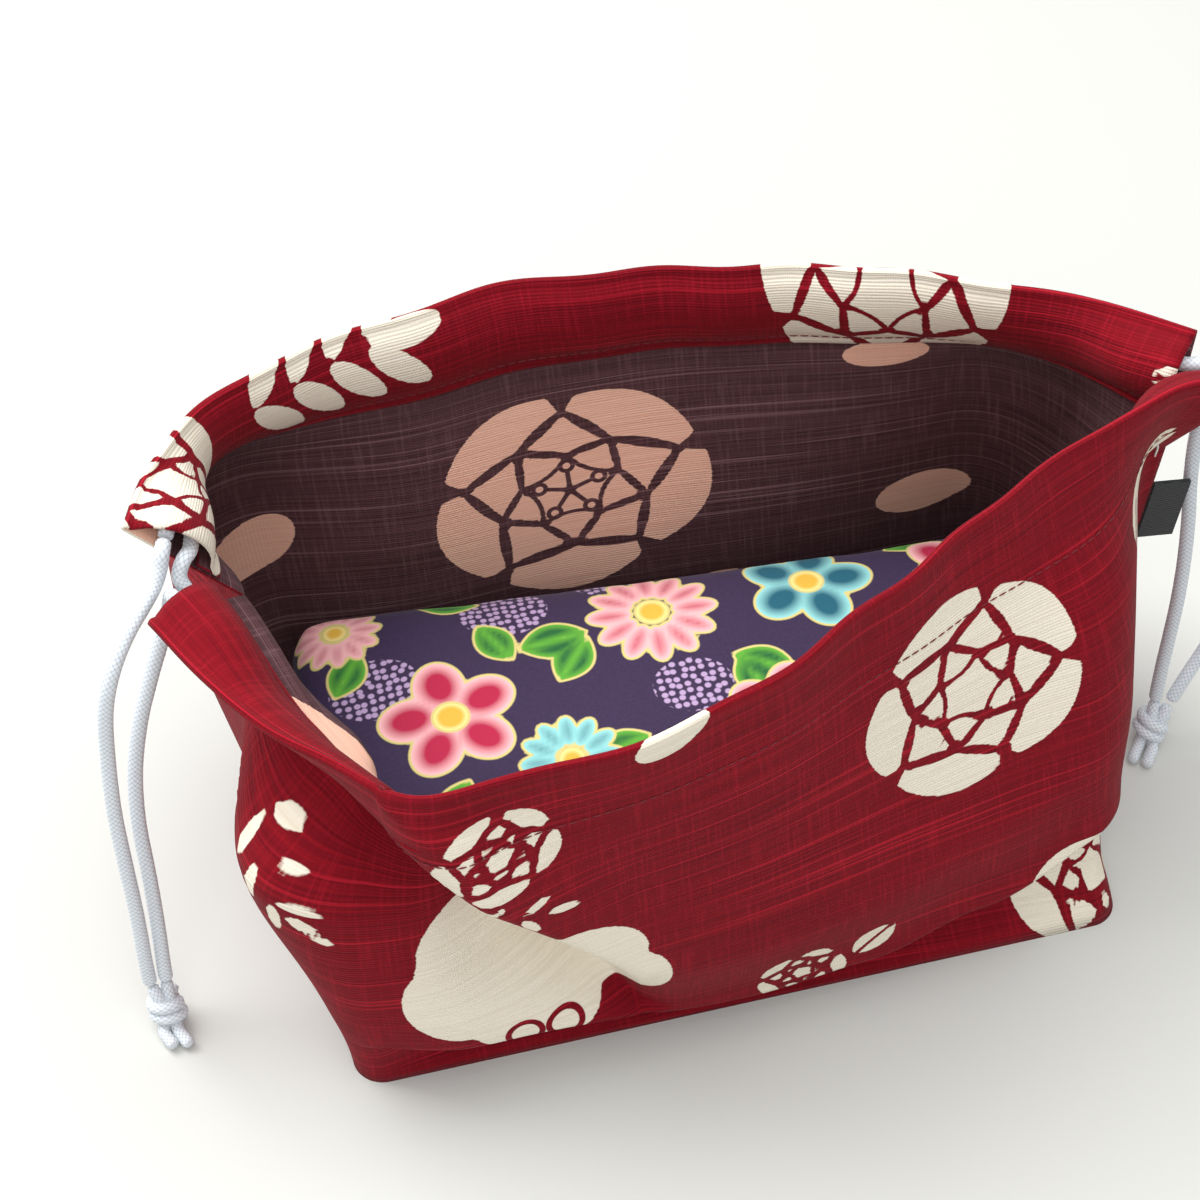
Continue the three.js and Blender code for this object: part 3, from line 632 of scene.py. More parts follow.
# %% [markdown]
# ## Sewing the shell
# Each half is a grid with one row for every few threads: up the wall, over the rim and down
# again inside as the casing, whose raw edge is turned under. Its print and weave need to know
# where they are on the flat cloth, so the UV map holds millimetres of flat cloth. The halves
# and the base are joined, and Solidify gives the sheet its thickness and the brown inner face.

# %% Rows and columns of a half
COLUMNS = 180
LOW_ROWS, HIGH_ROWS = 66, 18
CORNER_CROWDING = 0.4
HALF_WIDTH_MM = 300
WALL_LENGTH_MM = 143
THICKNESS = 0.7
HEM_DEPTH = 2.3
HEM_TURN = 5.0
RIM_ROUND = 0.75

even = np.arange(COLUMNS + 1) / COLUMNS
columns = even + CORNER_CROWDING * np.sin(6 * math.pi * even) / (6 * math.pi)


def low_rows(side):
    """Heights of the rows below the slits, gathered at the folds of the front wall."""
    f = np.arange(LOW_ROWS + 1)[:, None] / LOW_ROWS
    flat = SLIT * f + 0 * columns[None]
    if side == BACK:
        return flat
    crease, lip = crease_at(columns), crease_at(columns) + LIP_END
    valley = np.minimum(valley_at(columns), SLIT - 0.14)
    top = valley + 0.12
    marks = [
        (0, 0 * crease), (0.06, 0.5 * crease), (0.12, 0.9 * crease), (0.2, crease + LIP_START),
        (0.24, lip), (0.36, mix(lip, valley, 0.5)), (0.48, valley - 0.005), (0.56, valley + 0.05),
        (0.64, top), (1.0, SLIT + 0 * crease),
    ]
    rows = 0 * flat
    for (f0, v0), (f1, v1) in zip(marks, marks[1:]):
        inside = (f >= f0) & (f <= f1)
        rows = np.where(inside, mix(v0, v1, (f - f0) / (f1 - f0)), rows)
    share = ease(np.minimum(columns, 1 - columns) / 0.08)
    return mix(flat, rows, share)


def half_points(side):
    """Points of one half from the base to the turned hem, and their flat-cloth places."""
    low = low_rows(side)
    high = mix(SLIT, 1, np.arange(1, HIGH_ROWS + 1)[:, None] / HIGH_ROWS) + 0 * columns[None]
    v = np.vstack([low, high])
    s = columns[None] + 0 * v
    rows = [wall_at(side, s, v)]
    flat_v = [v * WALL_LENGTH_MM]
    rows[0][0, :, 2] = 0
    one = columns[None]
    normal = normal_at(side, one, 1 + 0 * one)
    rim = wall_at(side, one, 1 + 0 * one)
    upward = rim - wall_at(side, one, 0.97 + 0 * one)
    upward /= np.linalg.norm(upward, axis=-1)[..., None]
    radius = HEM_DEPTH / 2 - 0.1
    for angle in np.radians([30, 60, 90, 120, 150, 180]):
        inward, rise = radius * (1 - math.cos(angle)), RIM_ROUND * radius * math.sin(angle)
        rows.append(rim - normal * inward + upward * rise)
        flat_v.append(WALL_LENGTH_MM + radius * angle + 0 * one)
    start = WALL_LENGTH_MM + radius * math.pi
    for t in np.linspace(0.96, 0, 15):
        level = casing_level(t) + 0 * one
        depth = (HEM_DEPTH - 0.2 * t + hollow_at(t, one))[..., None]
        rows.append(wall_at(side, one, level) - normal_at(side, one, level) * depth)
        flat_v.append(start + (1 - t) * CASING_HEIGHT + 0 * one)
    level = casing_level(0) + 0 * one
    hem, out = wall_at(side, one, level), normal_at(side, one, level)
    downward = wall_at(side, one, level - 0.02) - hem
    downward /= np.linalg.norm(downward, axis=-1)[..., None]
    end = start + CASING_HEIGHT
    for down, depth, more in ((0.8, 2.3, 0.8), (1.6, 2.0, 1.8), (1.7, 1.6, 2.3), (1.0, 1.45, 3.0)):
        rows.append(hem + downward * down - out * depth)
        flat_v.append(end + more + 0 * one)
    rows.append(hem - downward * HEM_TURN - out * 1.5)
    flat_v.append(end + 3 + HEM_TURN + 0 * one)
    points = np.concatenate(rows, axis=0)
    flat = np.concatenate(flat_v, axis=0)
    place = np.stack([columns[None] * HALF_WIDTH_MM + 0 * flat, flat], axis=-1)
    return points, place


def base_points():
    """The base as rings from its middle to its edge."""
    front, back = base_at(FRONT, columns), base_at(BACK, columns[::-1])
    edge = np.concatenate([front, back[1:], 0 * front[:1] + front[:1]])[:-1]
    points = edge * np.linspace(0, 1, 9)[:, None, None]
    points = np.concatenate([points, 0 * points[..., :1]], axis=-1)
    return points, points[..., :2] - np.array([0, BASE_DEPTH / 2])


# %% [markdown]
# ## The print
# The design is a common camellia pattern that is cut as a stencil: flat cells with the ground
# left as lines between them. It could be painted as an image, but here every cell is a curved
# polygon on the flat cloth. Each point of the mesh stores how deep it lies inside the nearest
# cell, and cells that touch are stored apart, so the edges stay crisp at any distance.

# %% Cells of the print, in millimetres of flat cloth
LINE_HALF = 0.65
PRINT_CLASSES = 6
# Radii of a camellia's rings, as shares of its size.
STAR, LENS, KITE, TIP = 0.36, 0.56, 0.8, 0.97


def cell(*corners):
    """A closed outline; each corner is a point and how far the next side bends to the left."""
    sides = []
    for (a, bend), (b, _) in zip(corners, corners[1:] + corners[:1]):
        a, b = np.array(a, float), np.array(b, float)
        t = np.linspace(0, 1, 9, endpoint=False)[:, None]
        across = np.array([a[1] - b[1], b[0] - a[0]])
        sides.append(a + (b - a) * t + across * 4 * bend * t * (1 - t))
    return np.vstack(sides)


def camellia(centre, size, turn=0, squash=1.0):
    """Five outer petals around a ring of kites, a ring of lenses and a star."""
    def at(radius, angle):
        a = math.radians(angle + turn)
        wobble = 1 + 0.05 * math.sin(3 * a + 0.1 * centre[0])
        r = size * radius * wobble
        return (centre[0] + r * math.cos(a), centre[1] + squash * r * math.sin(a))

    cells = [cell(*[(at(STAR, 72 * i), 0.14) for i in range(5)])]
    for a in range(0, 360, 72):
        cells.append(cell(
            (at(STAR, a), 0.14), (at(STAR, a + 72), -0.05), (at(LENS, a + 36), -0.05),
        )[::-1])
        cells.append(cell(
            (at(STAR, a), 0.04), (at(LENS, a - 36), 0.05),
            (at(KITE, a), 0.05), (at(LENS, a + 36), 0.04),
        ))
        cells.append(cell(
            (at(KITE, a), 0.0), (at(TIP, a + 5), -0.2), (at(TIP, a + 67), 0.0),
            (at(KITE, a + 72), 0.06), (at(LENS, a + 36), 0.06),
        ))
    return cells


def blossom(centre, size, turn=0):
    """A plain blossom of five lobes in one cell."""
    angles = np.radians(np.arange(0, 360, 6))
    lobes = size * (0.86 + 0.14 * np.abs(np.cos(2.5 * angles)) ** 0.7)
    angles = angles + math.radians(turn)
    return [np.stack([centre[0] + lobes * np.cos(angles), centre[1] + lobes * np.sin(angles)], -1)]


def petal(centre, length, width, turn=0):
    """An oval cell."""
    angles = np.radians(np.arange(0, 360, 12))
    a, b = length / 2 * np.cos(angles), width / 2 * np.sin(angles)
    c, s = math.cos(math.radians(turn)), math.sin(math.radians(turn))
    return [np.stack([centre[0] + a * c - b * s, centre[1] + a * s + b * c], -1)]


def leaf(foot, length, width, turn):
    """A leaf in two halves with its rib left as a line."""
    c, s = math.cos(math.radians(turn)), math.sin(math.radians(turn))
    tip = (foot[0] + length * c, foot[1] + length * s)
    bend = width / length / 2
    return [cell((foot, 0.0), (tip, -bend)), cell((foot, -bend), (tip, 0.0))]


def petal_from(foot, length, width, turn):
    """A small leaf that starts at its foot."""
    c, s = math.cos(math.radians(turn)), math.sin(math.radians(turn))
    return petal((foot[0] + length / 2 * c, foot[1] + length / 2 * s), length, width, turn)


def sprig(foot, length, turn, pairs=3):
    """A stem with pairs of small leaves and one at its end."""
    c, s = math.cos(math.radians(turn)), math.sin(math.radians(turn))
    cells = []
    for k in range(pairs):
        share = k / pairs * length
        joint = (foot[0] + share * c, foot[1] + share * s)
        for lean in (-50, 50):
            cells += petal_from(joint, 0.46 * length, 0.19 * length, turn + lean)
    end = (foot[0] + 0.75 * length * c, foot[1] + 0.75 * length * s)
    return cells + petal_from(end, 0.46 * length, 0.2 * length, turn)


FRONT_PRINT = [
    camellia((211, 100), 30, 70, 0.95), camellia((92, 118), 15, 15), blossom((97, 47), 33, 55),
    sprig((32, 86), 25, -42), sprig((84, 96), 22, -15, 2), petal((40, 120), 46, 28, -38),
    camellia((162, 18), 12, 30), leaf((175, 18), 18, 11, 50), camellia((246, 15), 25, 20),
    leaf((268, 103), 34, 20, 35), petal((133, 142), 20, 13, 20),
]
BACK_PRINT = [
    camellia((16, 152), 24, 40), sprig((56, 153), 44, -6, 4), camellia((222, 151), 32, 18),
    leaf((293, 160), 12, 8, -20), camellia((137, 74), 38, 90, 0.9), petal((232, 54), 27, 16, 10),
    petal((57, 72), 24, 15, 50), petal((222, 112), 24, 12, 5), camellia((180, 18), 20, 10),
]


def depth_inside(points, outline):
    """Distance of each point from the outline, positive inside it."""
    a, b = outline, np.roll(outline, -1, axis=0)
    edge = b - a
    d = points[:, None] - a[None]
    t = np.clip((d * edge).sum(-1) / np.maximum((edge ** 2).sum(-1), 1e-9), 0, 1)
    gap = np.sqrt(((d - t[..., None] * edge) ** 2).sum(-1)).min(axis=1)
    x, y = points[:, :1], points[:, 1:]
    crosses = (a[:, 1] <= y) != (b[:, 1] <= y)
    rise = np.where(np.abs(edge[:, 1]) < 1e-9, 1e-9, edge[:, 1])
    crosses &= x < a[:, 0] + edge[:, 0] * (y - a[:, 1]) / rise
    return np.where(crosses.sum(axis=1) % 2 == 1, gap, -gap)


def printed(points, motifs):
    """Depth inside the print for each class of cells that don't touch each other."""
    depth = np.full((len(points), PRINT_CLASSES), -9.0)
    for cells in motifs:
        classes = []
        for k, outline in enumerate(cells):
            near = {
                classes[j] for j in range(k)
                if np.linalg.norm(outline[:, None] - cells[j][None], axis=-1).min() < 3
            }
            free = [c for c in range(PRINT_CLASSES) if c not in near]
            classes.append(free[0] if free else k % PRINT_CLASSES)
            low, high = outline.min(axis=0) - 6, outline.max(axis=0) + 6
            close = np.flatnonzero(((points > low) & (points < high)).all(axis=1))
            found = depth_inside(points[close], outline) - LINE_HALF
            column = depth[close, classes[-1]]
            depth[close, classes[-1]] = np.maximum(column, found)
    return depth


def store_print(piece, depth):
    """Keep the six depths as two vectors at the face corners, so that halves stay apart."""
    mesh = piece.data
    corner = np.zeros(len(mesh.loops), np.int32)
    mesh.loops.foreach_get("vertex_index", corner)
    for k, name in enumerate(("print_a", "print_b")):
        layer = mesh.attributes.new(name, "FLOAT_VECTOR", "CORNER")
        layer.data.foreach_set("vector", depth[corner, 3 * k:3 * k + 3].astype(np.float32).ravel())


# %% Front, back and base
front_points, front_place = half_points(FRONT)
back_points, back_place = half_points(BACK)
front_half = woven_grid("front_half", front_points, front_place)
back_half = woven_grid("back_half", back_points, back_place)
base_cloth = woven_grid("base_cloth", *base_points())
print("half grid", front_points.shape)
store_print(front_half, printed(front_place.reshape(-1, 2), FRONT_PRINT))
store_print(back_half, printed(back_place.reshape(-1, 2), BACK_PRINT))
store_print(base_cloth, printed(np.full((len(base_cloth.data.vertices), 2), -99.0), []))
pick(back_half)
bpy.ops.object.mode_set(mode="EDIT")
bpy.ops.mesh.select_all(action="SELECT")
bpy.ops.mesh.flip_normals()
bpy.ops.object.mode_set(mode="OBJECT")
pick(front_half, back_half, base_cloth)
bpy.ops.object.join()
bag = bpy.context.object
bag.name = "bag_cloth_sewn"
bpy.ops.object.mode_set(mode="EDIT")
bpy.ops.mesh.select_all(action="SELECT")
bpy.ops.mesh.remove_doubles(threshold=2e-6)
bpy.ops.object.mode_set(mode="OBJECT")
bag.data.materials.clear()


# %% [markdown]
# ## Slub cotton, printed on both faces
# The cloth is a plain weave of uneven cotton yarn. Its thick places, the slubs, run as short
# bright lines round the bag. The real yarn lies every 0.55 mm, which is too fine to show, so it
# is drawn every 0.75 mm. Rough cotton scatters light, so the finish is matt with a soft sheen.

# %% Results of nodes, by name
# Each recipe: a kind of node, its settings, the inputs that values fill, and its output.
RECIPES = {
    "blend": ("ShaderNodeMix", {"data_type": "RGBA"}, ("Factor", 6, 7), 2),
    "ramp": ("ShaderNodeMapRange", {"clamp": True}, ("Value", "From Min", "From Max"), 0),
    "distance": ("ShaderNodeVectorMath", {"operation": "DISTANCE"}, (0, 1), "Value"),
}


def give(tree, what, *values):
    """The result of a recipe, or of an operation of the Math node, on these values."""
    plain = ("ShaderNodeMath", {"operation": what}, (0, 1), 0)
    kind, settings, sockets, result = RECIPES.get(what, plain)
    return node(tree, kind, dict(zip(sockets, values)), **settings).outputs[result]


print("recipes", list(RECIPES))


# %% Noise along the yarn
WEFT_MM, WARP_MM = 0.75, 0.6


def streaks(tree, u, v, along, across, detail=2.0):
    """Noise drawn out along the yarn: its grain is along by across millimetres."""
    place = node(tree, "ShaderNodeCombineXYZ", {
        "X": give(tree, "DIVIDE", u, along), "Y": give(tree, "DIVIDE", v, across),
    })
    made = node(tree, "ShaderNodeTexNoise", {
        "Vector": place.outputs[0], "Scale": 1.0, "Detail": detail, "Roughness": 0.55,
    })
    return made.outputs["Fac"]


# %% Small rings and stamens inside the print
# Each ring: its place on the flat cloth, its radius and half the width of its line.
RINGS = [(93, 21, 4.2, 0.8), (103, 21, 4.2, 0.8)]
STAMEN_CENTRE, STAMEN_REACH, STAMEN_RING, STAMEN_LINE = (137, 74), 8.5, 1.7, 0.65
STAMENS, STAMEN_TURN, SPOKE_THINNING = 5, math.radians(20), 2.5
for k in range(STAMENS):
    turned = math.radians(360 / STAMENS * k) + STAMEN_TURN
    RINGS.append((
        STAMEN_CENTRE[0] + STAMEN_REACH * math.cos(turned),
        STAMEN_CENTRE[1] + STAMEN_REACH * math.sin(turned), STAMEN_RING, STAMEN_LINE,
    ))


def cut_lines(tree, uv, parts):
    """Distance from the small rings and stamens that are left as ground inside the print."""
    nearest = None
    for u, v, radius, line in RINGS:
        off = give(tree, "SUBTRACT", give(tree, "distance", uv, (u, v, 0)), radius)
        off = give(tree, "SUBTRACT", give(tree, "ABSOLUTE", off), line)
        nearest = off if nearest is None else give(tree, "MINIMUM", nearest, off)
    u = give(tree, "SUBTRACT", parts.outputs[0], STAMEN_CENTRE[0])
    v = give(tree, "SUBTRACT", parts.outputs[1], STAMEN_CENTRE[1])
    angle = give(tree, "SUBTRACT", give(tree, "ARCTAN2", v, u), STAMEN_TURN)
    reach = give(tree, "distance", uv, (*STAMEN_CENTRE, 0))
    spoke = give(tree, "SINE", give(tree, "MULTIPLY", angle, STAMENS / 2))
    spoke = give(tree, "ABSOLUTE", spoke)
    spoke = give(tree, "DIVIDE", give(tree, "MULTIPLY", spoke, reach), SPOKE_THINNING)
    spoke = give(tree, "SUBTRACT", spoke, STAMEN_LINE)
    beyond = give(tree, "SUBTRACT", reach, STAMEN_REACH - STAMEN_RING)
    return give(tree, "MINIMUM", nearest, give(tree, "MAXIMUM", spoke, beyond))


def print_depth(tree):
    """Depth inside the print, from the classes of cells that the mesh stores."""
    deepest = None
    for name in ("print_a", "print_b"):
        stored = node(tree, "ShaderNodeAttribute", attribute_name=name)
        parts = node(tree, "ShaderNodeSeparateXYZ", {0: stored.outputs["Vector"]})
        for socket in parts.outputs:
            deepest = socket if deepest is None else give(tree, "MAXIMUM", deepest, socket)
    return deepest


# %% Slub cotton
def slub_cotton(name, dark, ground, slub, print_code, print_shade):
    """One face of the cloth, with its weave, slubs and print."""
    material, tree = new_material(name)
    uv = node(tree, "ShaderNodeUVMap", uv_map=PLAIN_UV)
    parts = node(tree, "ShaderNodeSeparateXYZ", {0: uv.outputs[0]})
    u, v = parts.outputs[0], parts.outputs[1]
    wander = streaks(tree, u, v, 30, 6)
    bent = give(tree, "ADD", v, give(tree, "MULTIPLY", wander, 1.6))
    weft = give(tree, "SINE", give(tree, "MULTIPLY", bent, 2 * math.pi / WEFT_MM))
    warp = give(tree, "SINE", give(tree, "MULTIPLY", u, 2 * math.pi / WARP_MM))
    yarn = streaks(tree, u, v, 60, 0.8)
    slubs = give(tree, "ramp", streaks(tree, u, v, 120, 1.0, 1.0), 0.6, 0.7)
    warp_yarn = streaks(tree, u, v, 0.9, 18)
    colour = give(tree, "blend", give(tree, "ramp", yarn, 0.3, 0.7), linear(dark), linear(ground))
    weft_share = give(tree, "MULTIPLY", give(tree, "ramp", weft, -1.0, 1.0), 0.3)
    colour = give(tree, "blend", weft_share, colour, linear(dark))
    colour = give(tree, "blend", give(tree, "MULTIPLY", slubs, 0.55), colour, linear(slub))
    warp_share = give(tree, "MULTIPLY", give(tree, "ramp", warp_yarn, 0.5, 0.8), 0.3)
    colour = give(tree, "blend", warp_share, colour, linear(slub))
    ink_share = give(tree, "MULTIPLY", give(tree, "ramp", yarn, 0.35, 0.75), 0.7)
    ink = give(tree, "blend", ink_share, linear(print_code), linear(print_shade))
    rough_edge = give(tree, "MULTIPLY", give(tree, "SUBTRACT", yarn, 0.5), 0.8)
    mask = give(tree, "ramp", give(tree, "ADD", print_depth(tree), rough_edge), -0.12, 0.12)
    kept = give(tree, "ramp", cut_lines(tree, uv.outputs[0], parts), -0.1, 0.1)
    mask = give(tree, "MULTIPLY", mask, kept)
    colour = give(tree, "blend", mask, colour, ink)
    weft_height = give(tree, "MULTIPLY", weft, 0.35)
    height = give(tree, "ADD", weft_height, give(tree, "MULTIPLY", yarn, 1.2))
    height = give(tree, "ADD", height, give(tree, "MULTIPLY", warp, 0.15))
    bump = node(tree, "ShaderNodeBump", {"Height": height, "Strength": 0.55, "Distance": 0.00022})
    cloth = node(tree, "ShaderNodeBsdfPrincipled", {
        "Base Color": colour, "Roughness": 0.88, "Normal": bump.outputs[0],
        "Sheen Weight": 0.04, "Sheen Roughness": 0.5, "Specular IOR Level": 0.15,
    })
    node(tree, "ShaderNodeOutputMaterial", {"Surface": cloth.outputs[0]})
    return material


red_cloth = slub_cotton("red_slub_cotton", "#640010", "#860717", "#bb1a2e", "#e9e0cf", "#d8ccb6")
brown_cloth = slub_cotton("brown_slub_cotton", "#43292d", "#664448", "#957075", "#f9c8b0", "#ecb096")
print("cloth faces", red_cloth.name, brown_cloth.name)


# %% [markdown]
# ## Braided cotton
# The cord's relief is in its mesh already. The finish only darkens the crossings of the braid,
# where light doesn't reach, and adds a little lint.

# %% Cord material
def braided_cotton():
    """Pale braid: painted shade in its crossings, a little lint."""
    material, tree = new_material("braided_cotton")
    uv = node(tree, "ShaderNodeUVMap", uv_map=PLAIN_UV)
    parts = node(tree, "ShaderNodeSeparateXYZ", {0: uv.outputs[0]})
    turns = give(tree, "MULTIPLY", parts.outputs[0], 2 * math.pi * BRAID_STRANDS)
    run = give(tree, "MULTIPLY", parts.outputs[1], 2 * math.pi * BRAID_STRANDS / BRAID_TURN)
    one = give(tree, "SINE", give(tree, "ADD", turns, run))
    other = give(tree, "SINE", give(tree, "SUBTRACT", turns, run))
    crossing = give(tree, "ABSOLUTE", give(tree, "MULTIPLY", one, other))
    lint = streaks(tree, parts.outputs[0], parts.outputs[1], 0.05, 0.8)
    # Painted shade: the braid's colour goes darker in the low lines between its strands, where the mesh
    # relief sinks.
    raised = give(tree, "ramp", crossing, 0.0, 0.35)
    colour = give(tree, "blend", raised, linear("#a9b1b8"), linear("#dde2e6"))
    colour = give(tree, "blend", give(tree, "MULTIPLY", lint, 0.2), colour, linear("#c3c8d6"))
    bump = node(tree, "ShaderNodeBump", {"Height": lint, "Strength": 0.4, "Distance": 0.0002})
    cotton = node(tree, "ShaderNodeBsdfPrincipled", {
        "Base Color": colour, "Roughness": 0.8, "Normal": bump.outputs[0], "Sheen Weight": 0.15,
    })
    node(tree, "ShaderNodeOutputMaterial", {"Surface": cotton.outputs[0]})
    return material


cord_cotton = braided_cotton()
print("cord finish", cord_cotton.name)

# %% Thickness and inner face
bag.data.materials.append(red_cloth)
bag.data.materials.append(brown_cloth)
thicken = bag.modifiers.new("cloth_thickness", "SOLIDIFY")
thicken.thickness = THICKNESS * MM
thicken.offset = -1
thicken.material_offset = 1
thicken.material_offset_rim = 0
pick(bag)
bpy.ops.object.modifier_apply(modifier=thicken.name)
bpy.ops.object.shade_smooth()
print("bag triangles", sum(len(p.vertices) - 2 for p in bag.data.polygons))

# %% [markdown]
# ## Cords inside the casings
# Between its two free strands each cord runs hidden through both casings. It could be left out,
# but it shows at the open mouths and as a loop across the far slit. So the same braid follows a
# line that stays inside the tunnel, one cord above the other.

# %% Cords inside the casings
RUN_COLUMNS = 80
CORD_DEPTH, MOUTH_DEPTH = 2.8, 4.6
UPPER_LEVEL, LOWER_LEVEL = 0.66, 0.38
LOOP_START, LEFT_LOOP, RIGHT_LOOP = 2.5, 2, 8


def in_casing(side, s, level):
    """Centre of a cord inside a casing."""
    v = casing_level(level) + 0 * s
    depth = mix(MOUTH_DEPTH, CORD_DEPTH, ease((np.minimum(s, 1 - s) - 0.01) / 0.07))
    return wall_at(side, s, v) - normal_at(side, s, v) * depth[..., None]


def run_line(level, starts_left):
    """In at one side, through the back casing, across the far slit and back in front."""
    share = np.arange(RUN_COLUMNS + 1) / RUN_COLUMNS
    share = share if starts_left else 1 - share
    back = in_casing(BACK, share, level)
    front = in_casing(FRONT, share, level)
    reach = RIGHT_LOOP if starts_left else LEFT_LOOP
    outward = np.array([1.0 if starts_left else -1.0, 0, 0])

    def leaving(points):
        last = points[-1] - points[-2]
        return points[-1] + last / np.linalg.norm(last) * LOOP_START + outward * reach / 2

    middle = (back[-1] + front[-1]) / 2 + outward * (reach + LOOP_START / 2)
    return np.vstack([back, leaving(back), middle, leaving(front), front[::-1]])


runs = {}
for side, level in (("left", UPPER_LEVEL), ("right", LOWER_LEVEL)):
    line = smooth_line(run_line(level, side == "left"), 1)
    runs[side + "_cord_run"] = braided_tube(side + "_cord_in_casing", line, CORD)[0]
print("runs", list(runs))

# %% [markdown]
# ## The folded cloth in the bottom
# A second printed cloth lies folded flat in the bottom. Folded cloth is soft and crowned, so it
# is made as a padded block: a bevelled cube is remeshed, swollen by Cloth with a little
# pressure, held to a few millimetres of travel, and smoothed by a subdivision surface.

# %% Folded cloth
BUNDLE_TURN = math.radians(-4.5)
BUNDLE_SIZE = Vector((200, 80, 58))
BUNDLE_PLACE = Vector((0, 6, 1.6))
BUNDLE_BEVEL, BUNDLE_VOXEL, BUNDLE_CAP = 9, 5, 4
# Shares of the swelling that are kept along x, along y and at the top.
KEPT_X, KEPT_Y, KEPT_TOP = 0.3, 0.4, 0.5
# The top layer of the folded cloth ends short of the left end.
LAYER_EDGE, LAYER_ROUND, LAYER_LOW, LAYER_DEPTH, LAYER_STEP = -74, 3, 20, 9, 1.6

start_clean()
bpy.ops.mesh.primitive_cube_add(size=1)
bundle = bpy.context.object
bundle.name = "folded_cloth"
bundle.data.transform(Matrix.Diagonal((*(BUNDLE_SIZE * MM), 1)))
bevel = bundle.modifiers.new("soft_edges", "BEVEL")
bevel.width, bevel.segments = BUNDLE_BEVEL * MM, 4
bpy.ops.object.modifier_apply(modifier=bevel.name)
remesh = bundle.modifiers.new("even_mesh", "REMESH")
remesh.mode, remesh.voxel_size = "VOXEL", BUNDLE_VOXEL * MM
bpy.ops.object.modifier_apply(modifier=remesh.name)
still = np.zeros(len(bundle.data.vertices) * 3)
bundle.data.vertices.foreach_get("co", still)
still = still.reshape(-1, 3)
cloth = bundle.modifiers.new("swell", "CLOTH")
cloth.settings.use_pressure = True
cloth.settings.uniform_pressure_force = 4
cloth.settings.effector_weights.gravity = 0
for step in range(1, 21):
    scene.frame_set(step)
bpy.ops.object.modifier_apply(modifier=cloth.name)
scene.frame_set(1)
moved = np.zeros(len(bundle.data.vertices) * 3)
bundle.data.vertices.foreach_get("co", moved)
travel = np.clip(moved.reshape(-1, 3) - still, -BUNDLE_CAP * MM, BUNDLE_CAP * MM)
travel[:, 2] *= np.where(still[:, 2] > 0, KEPT_TOP, 0.0)
travel[:, 1] *= KEPT_Y
travel[:, 0] *= KEPT_X
shape = (still + travel) / MM
top_share = ease((shape[:, 2] - LAYER_LOW) / LAYER_DEPTH)
lower_layer = 1 - ease((shape[:, 0] - LAYER_EDGE) / LAYER_ROUND)
shape[:, 2] += BUNDLE_SIZE.z / 2 - LAYER_STEP * top_share * lower_layer
bundle.data.vertices.foreach_set("co", (shape * MM).ravel())
bundle.data.update()
smoother = bundle.modifiers.new("smooth", "SUBSURF")
smoother.levels = smoother.render_levels = 2
bpy.ops.object.modifier_apply(modifier=smoother.name)
bpy.ops.object.shade_smooth()

# %% [markdown]
# ## Flowers on the folded cloth
# The folded cloth is dark purple with chrysanthemums, plum blossoms, leaves and clusters of
# pale dots, each with a thin gold edge, as on traditional printed cotton. The design is a plain
# one of its kind. It is laid on the flat top and runs down over the sides.

# %% Flowers, leaves and dots
place = np.zeros(len(bundle.data.vertices) * 3)
bundle.data.vertices.foreach_get("co", place)
place = place.reshape(-1, 3) / MM
drop = np.maximum(BUNDLE_SIZE.z - 6 - place[:, 2], 0)
over_x = ease((np.abs(place[:, 0]) - BUNDLE_SIZE.x / 2 + 8) / 8)
over_y = ease((np.abs(place[:, 1]) - BUNDLE_SIZE.y / 2 + 8) / 8)
flat = np.stack([
    place[:, 0] + np.sign(place[:, 0]) * drop * over_x,
    place[:, 1] + np.sign(place[:, 1]) * drop * over_y * (1 - over_x),
], axis=-1)


def chrysanthemum(centre, size, petals=12):
    cells = []
    for k in range(petals):
        a = 2 * math.pi * k / petals
        c = (centre[0] + 0.66 * size * math.cos(a), centre[1] + 0.66 * size * math.sin(a))
        cells += petal(c, 0.68 * size, 0.34 * size, math.degrees(a))
    return cells


def plum(centre, size, turn=0):
    cells = []
    for k in range(5):
        a = math.radians(72 * k + turn)
        c = (centre[0] + 0.58 * size * math.cos(a), centre[1] + 0.58 * size * math.sin(a))
        cells += petal(c, 0.86 * size, 0.72 * size, math.degrees(a))
    return cells


# Each one: centre and size in mm, then its kind, or a leaf's turn in degrees.
FLOWERS = {
    "pink": [
        ((-6, 20), 17, "mum"), ((22, -18), 15, "plum"), ((78, 22), 16, "plum"),
        ((-62, -6), 18, "plum"), ((-88, 30), 12, "mum"), ((60, -50), 15, "mum"),
        ((-30, -62), 16, "plum"), ((110, -10), 14, "mum"),
    ],
    "teal": [
        ((36, 24), 17, "plum"), ((-34, -24), 13, "mum"), ((86, -14), 13, "mum"),
        ((-76, -46), 16, "mum"), ((4, -56), 14, "plum"), ((-110, -6), 14, "plum"),
    ],
    "green": [
        ((12, 2), 17, -30), ((14, 2), 16, -75), ((-24, 16), 18, 190), ((-24, 14), 16, 235),
        ((54, 10), 16, -60), ((52, 12), 15, -15), ((-44, 10), 15, 120), ((-14, -20), 15, 200),
        ((44, -26), 17, 10), ((-60, -26), 16, 240), ((96, 6), 15, 80), ((24, -44), 16, -100),
        ((-90, 8), 15, 60), ((60, 34), 15, 20), ((-50, 34), 16, 170),
    ],
    "pale": [
        ((-44, 28), 9, "dots"), ((56, -6), 9, "dots"), ((0, -6), 8, "dots"),
        ((-14, 38), 8, "dots"), ((-80, 8), 9, "dots"), ((2, -34), 8, "dots"),
        ((66, -30), 9, "dots"), ((-50, -44), 9, "dots"), ((98, 30), 8, "dots"),
    ],
}


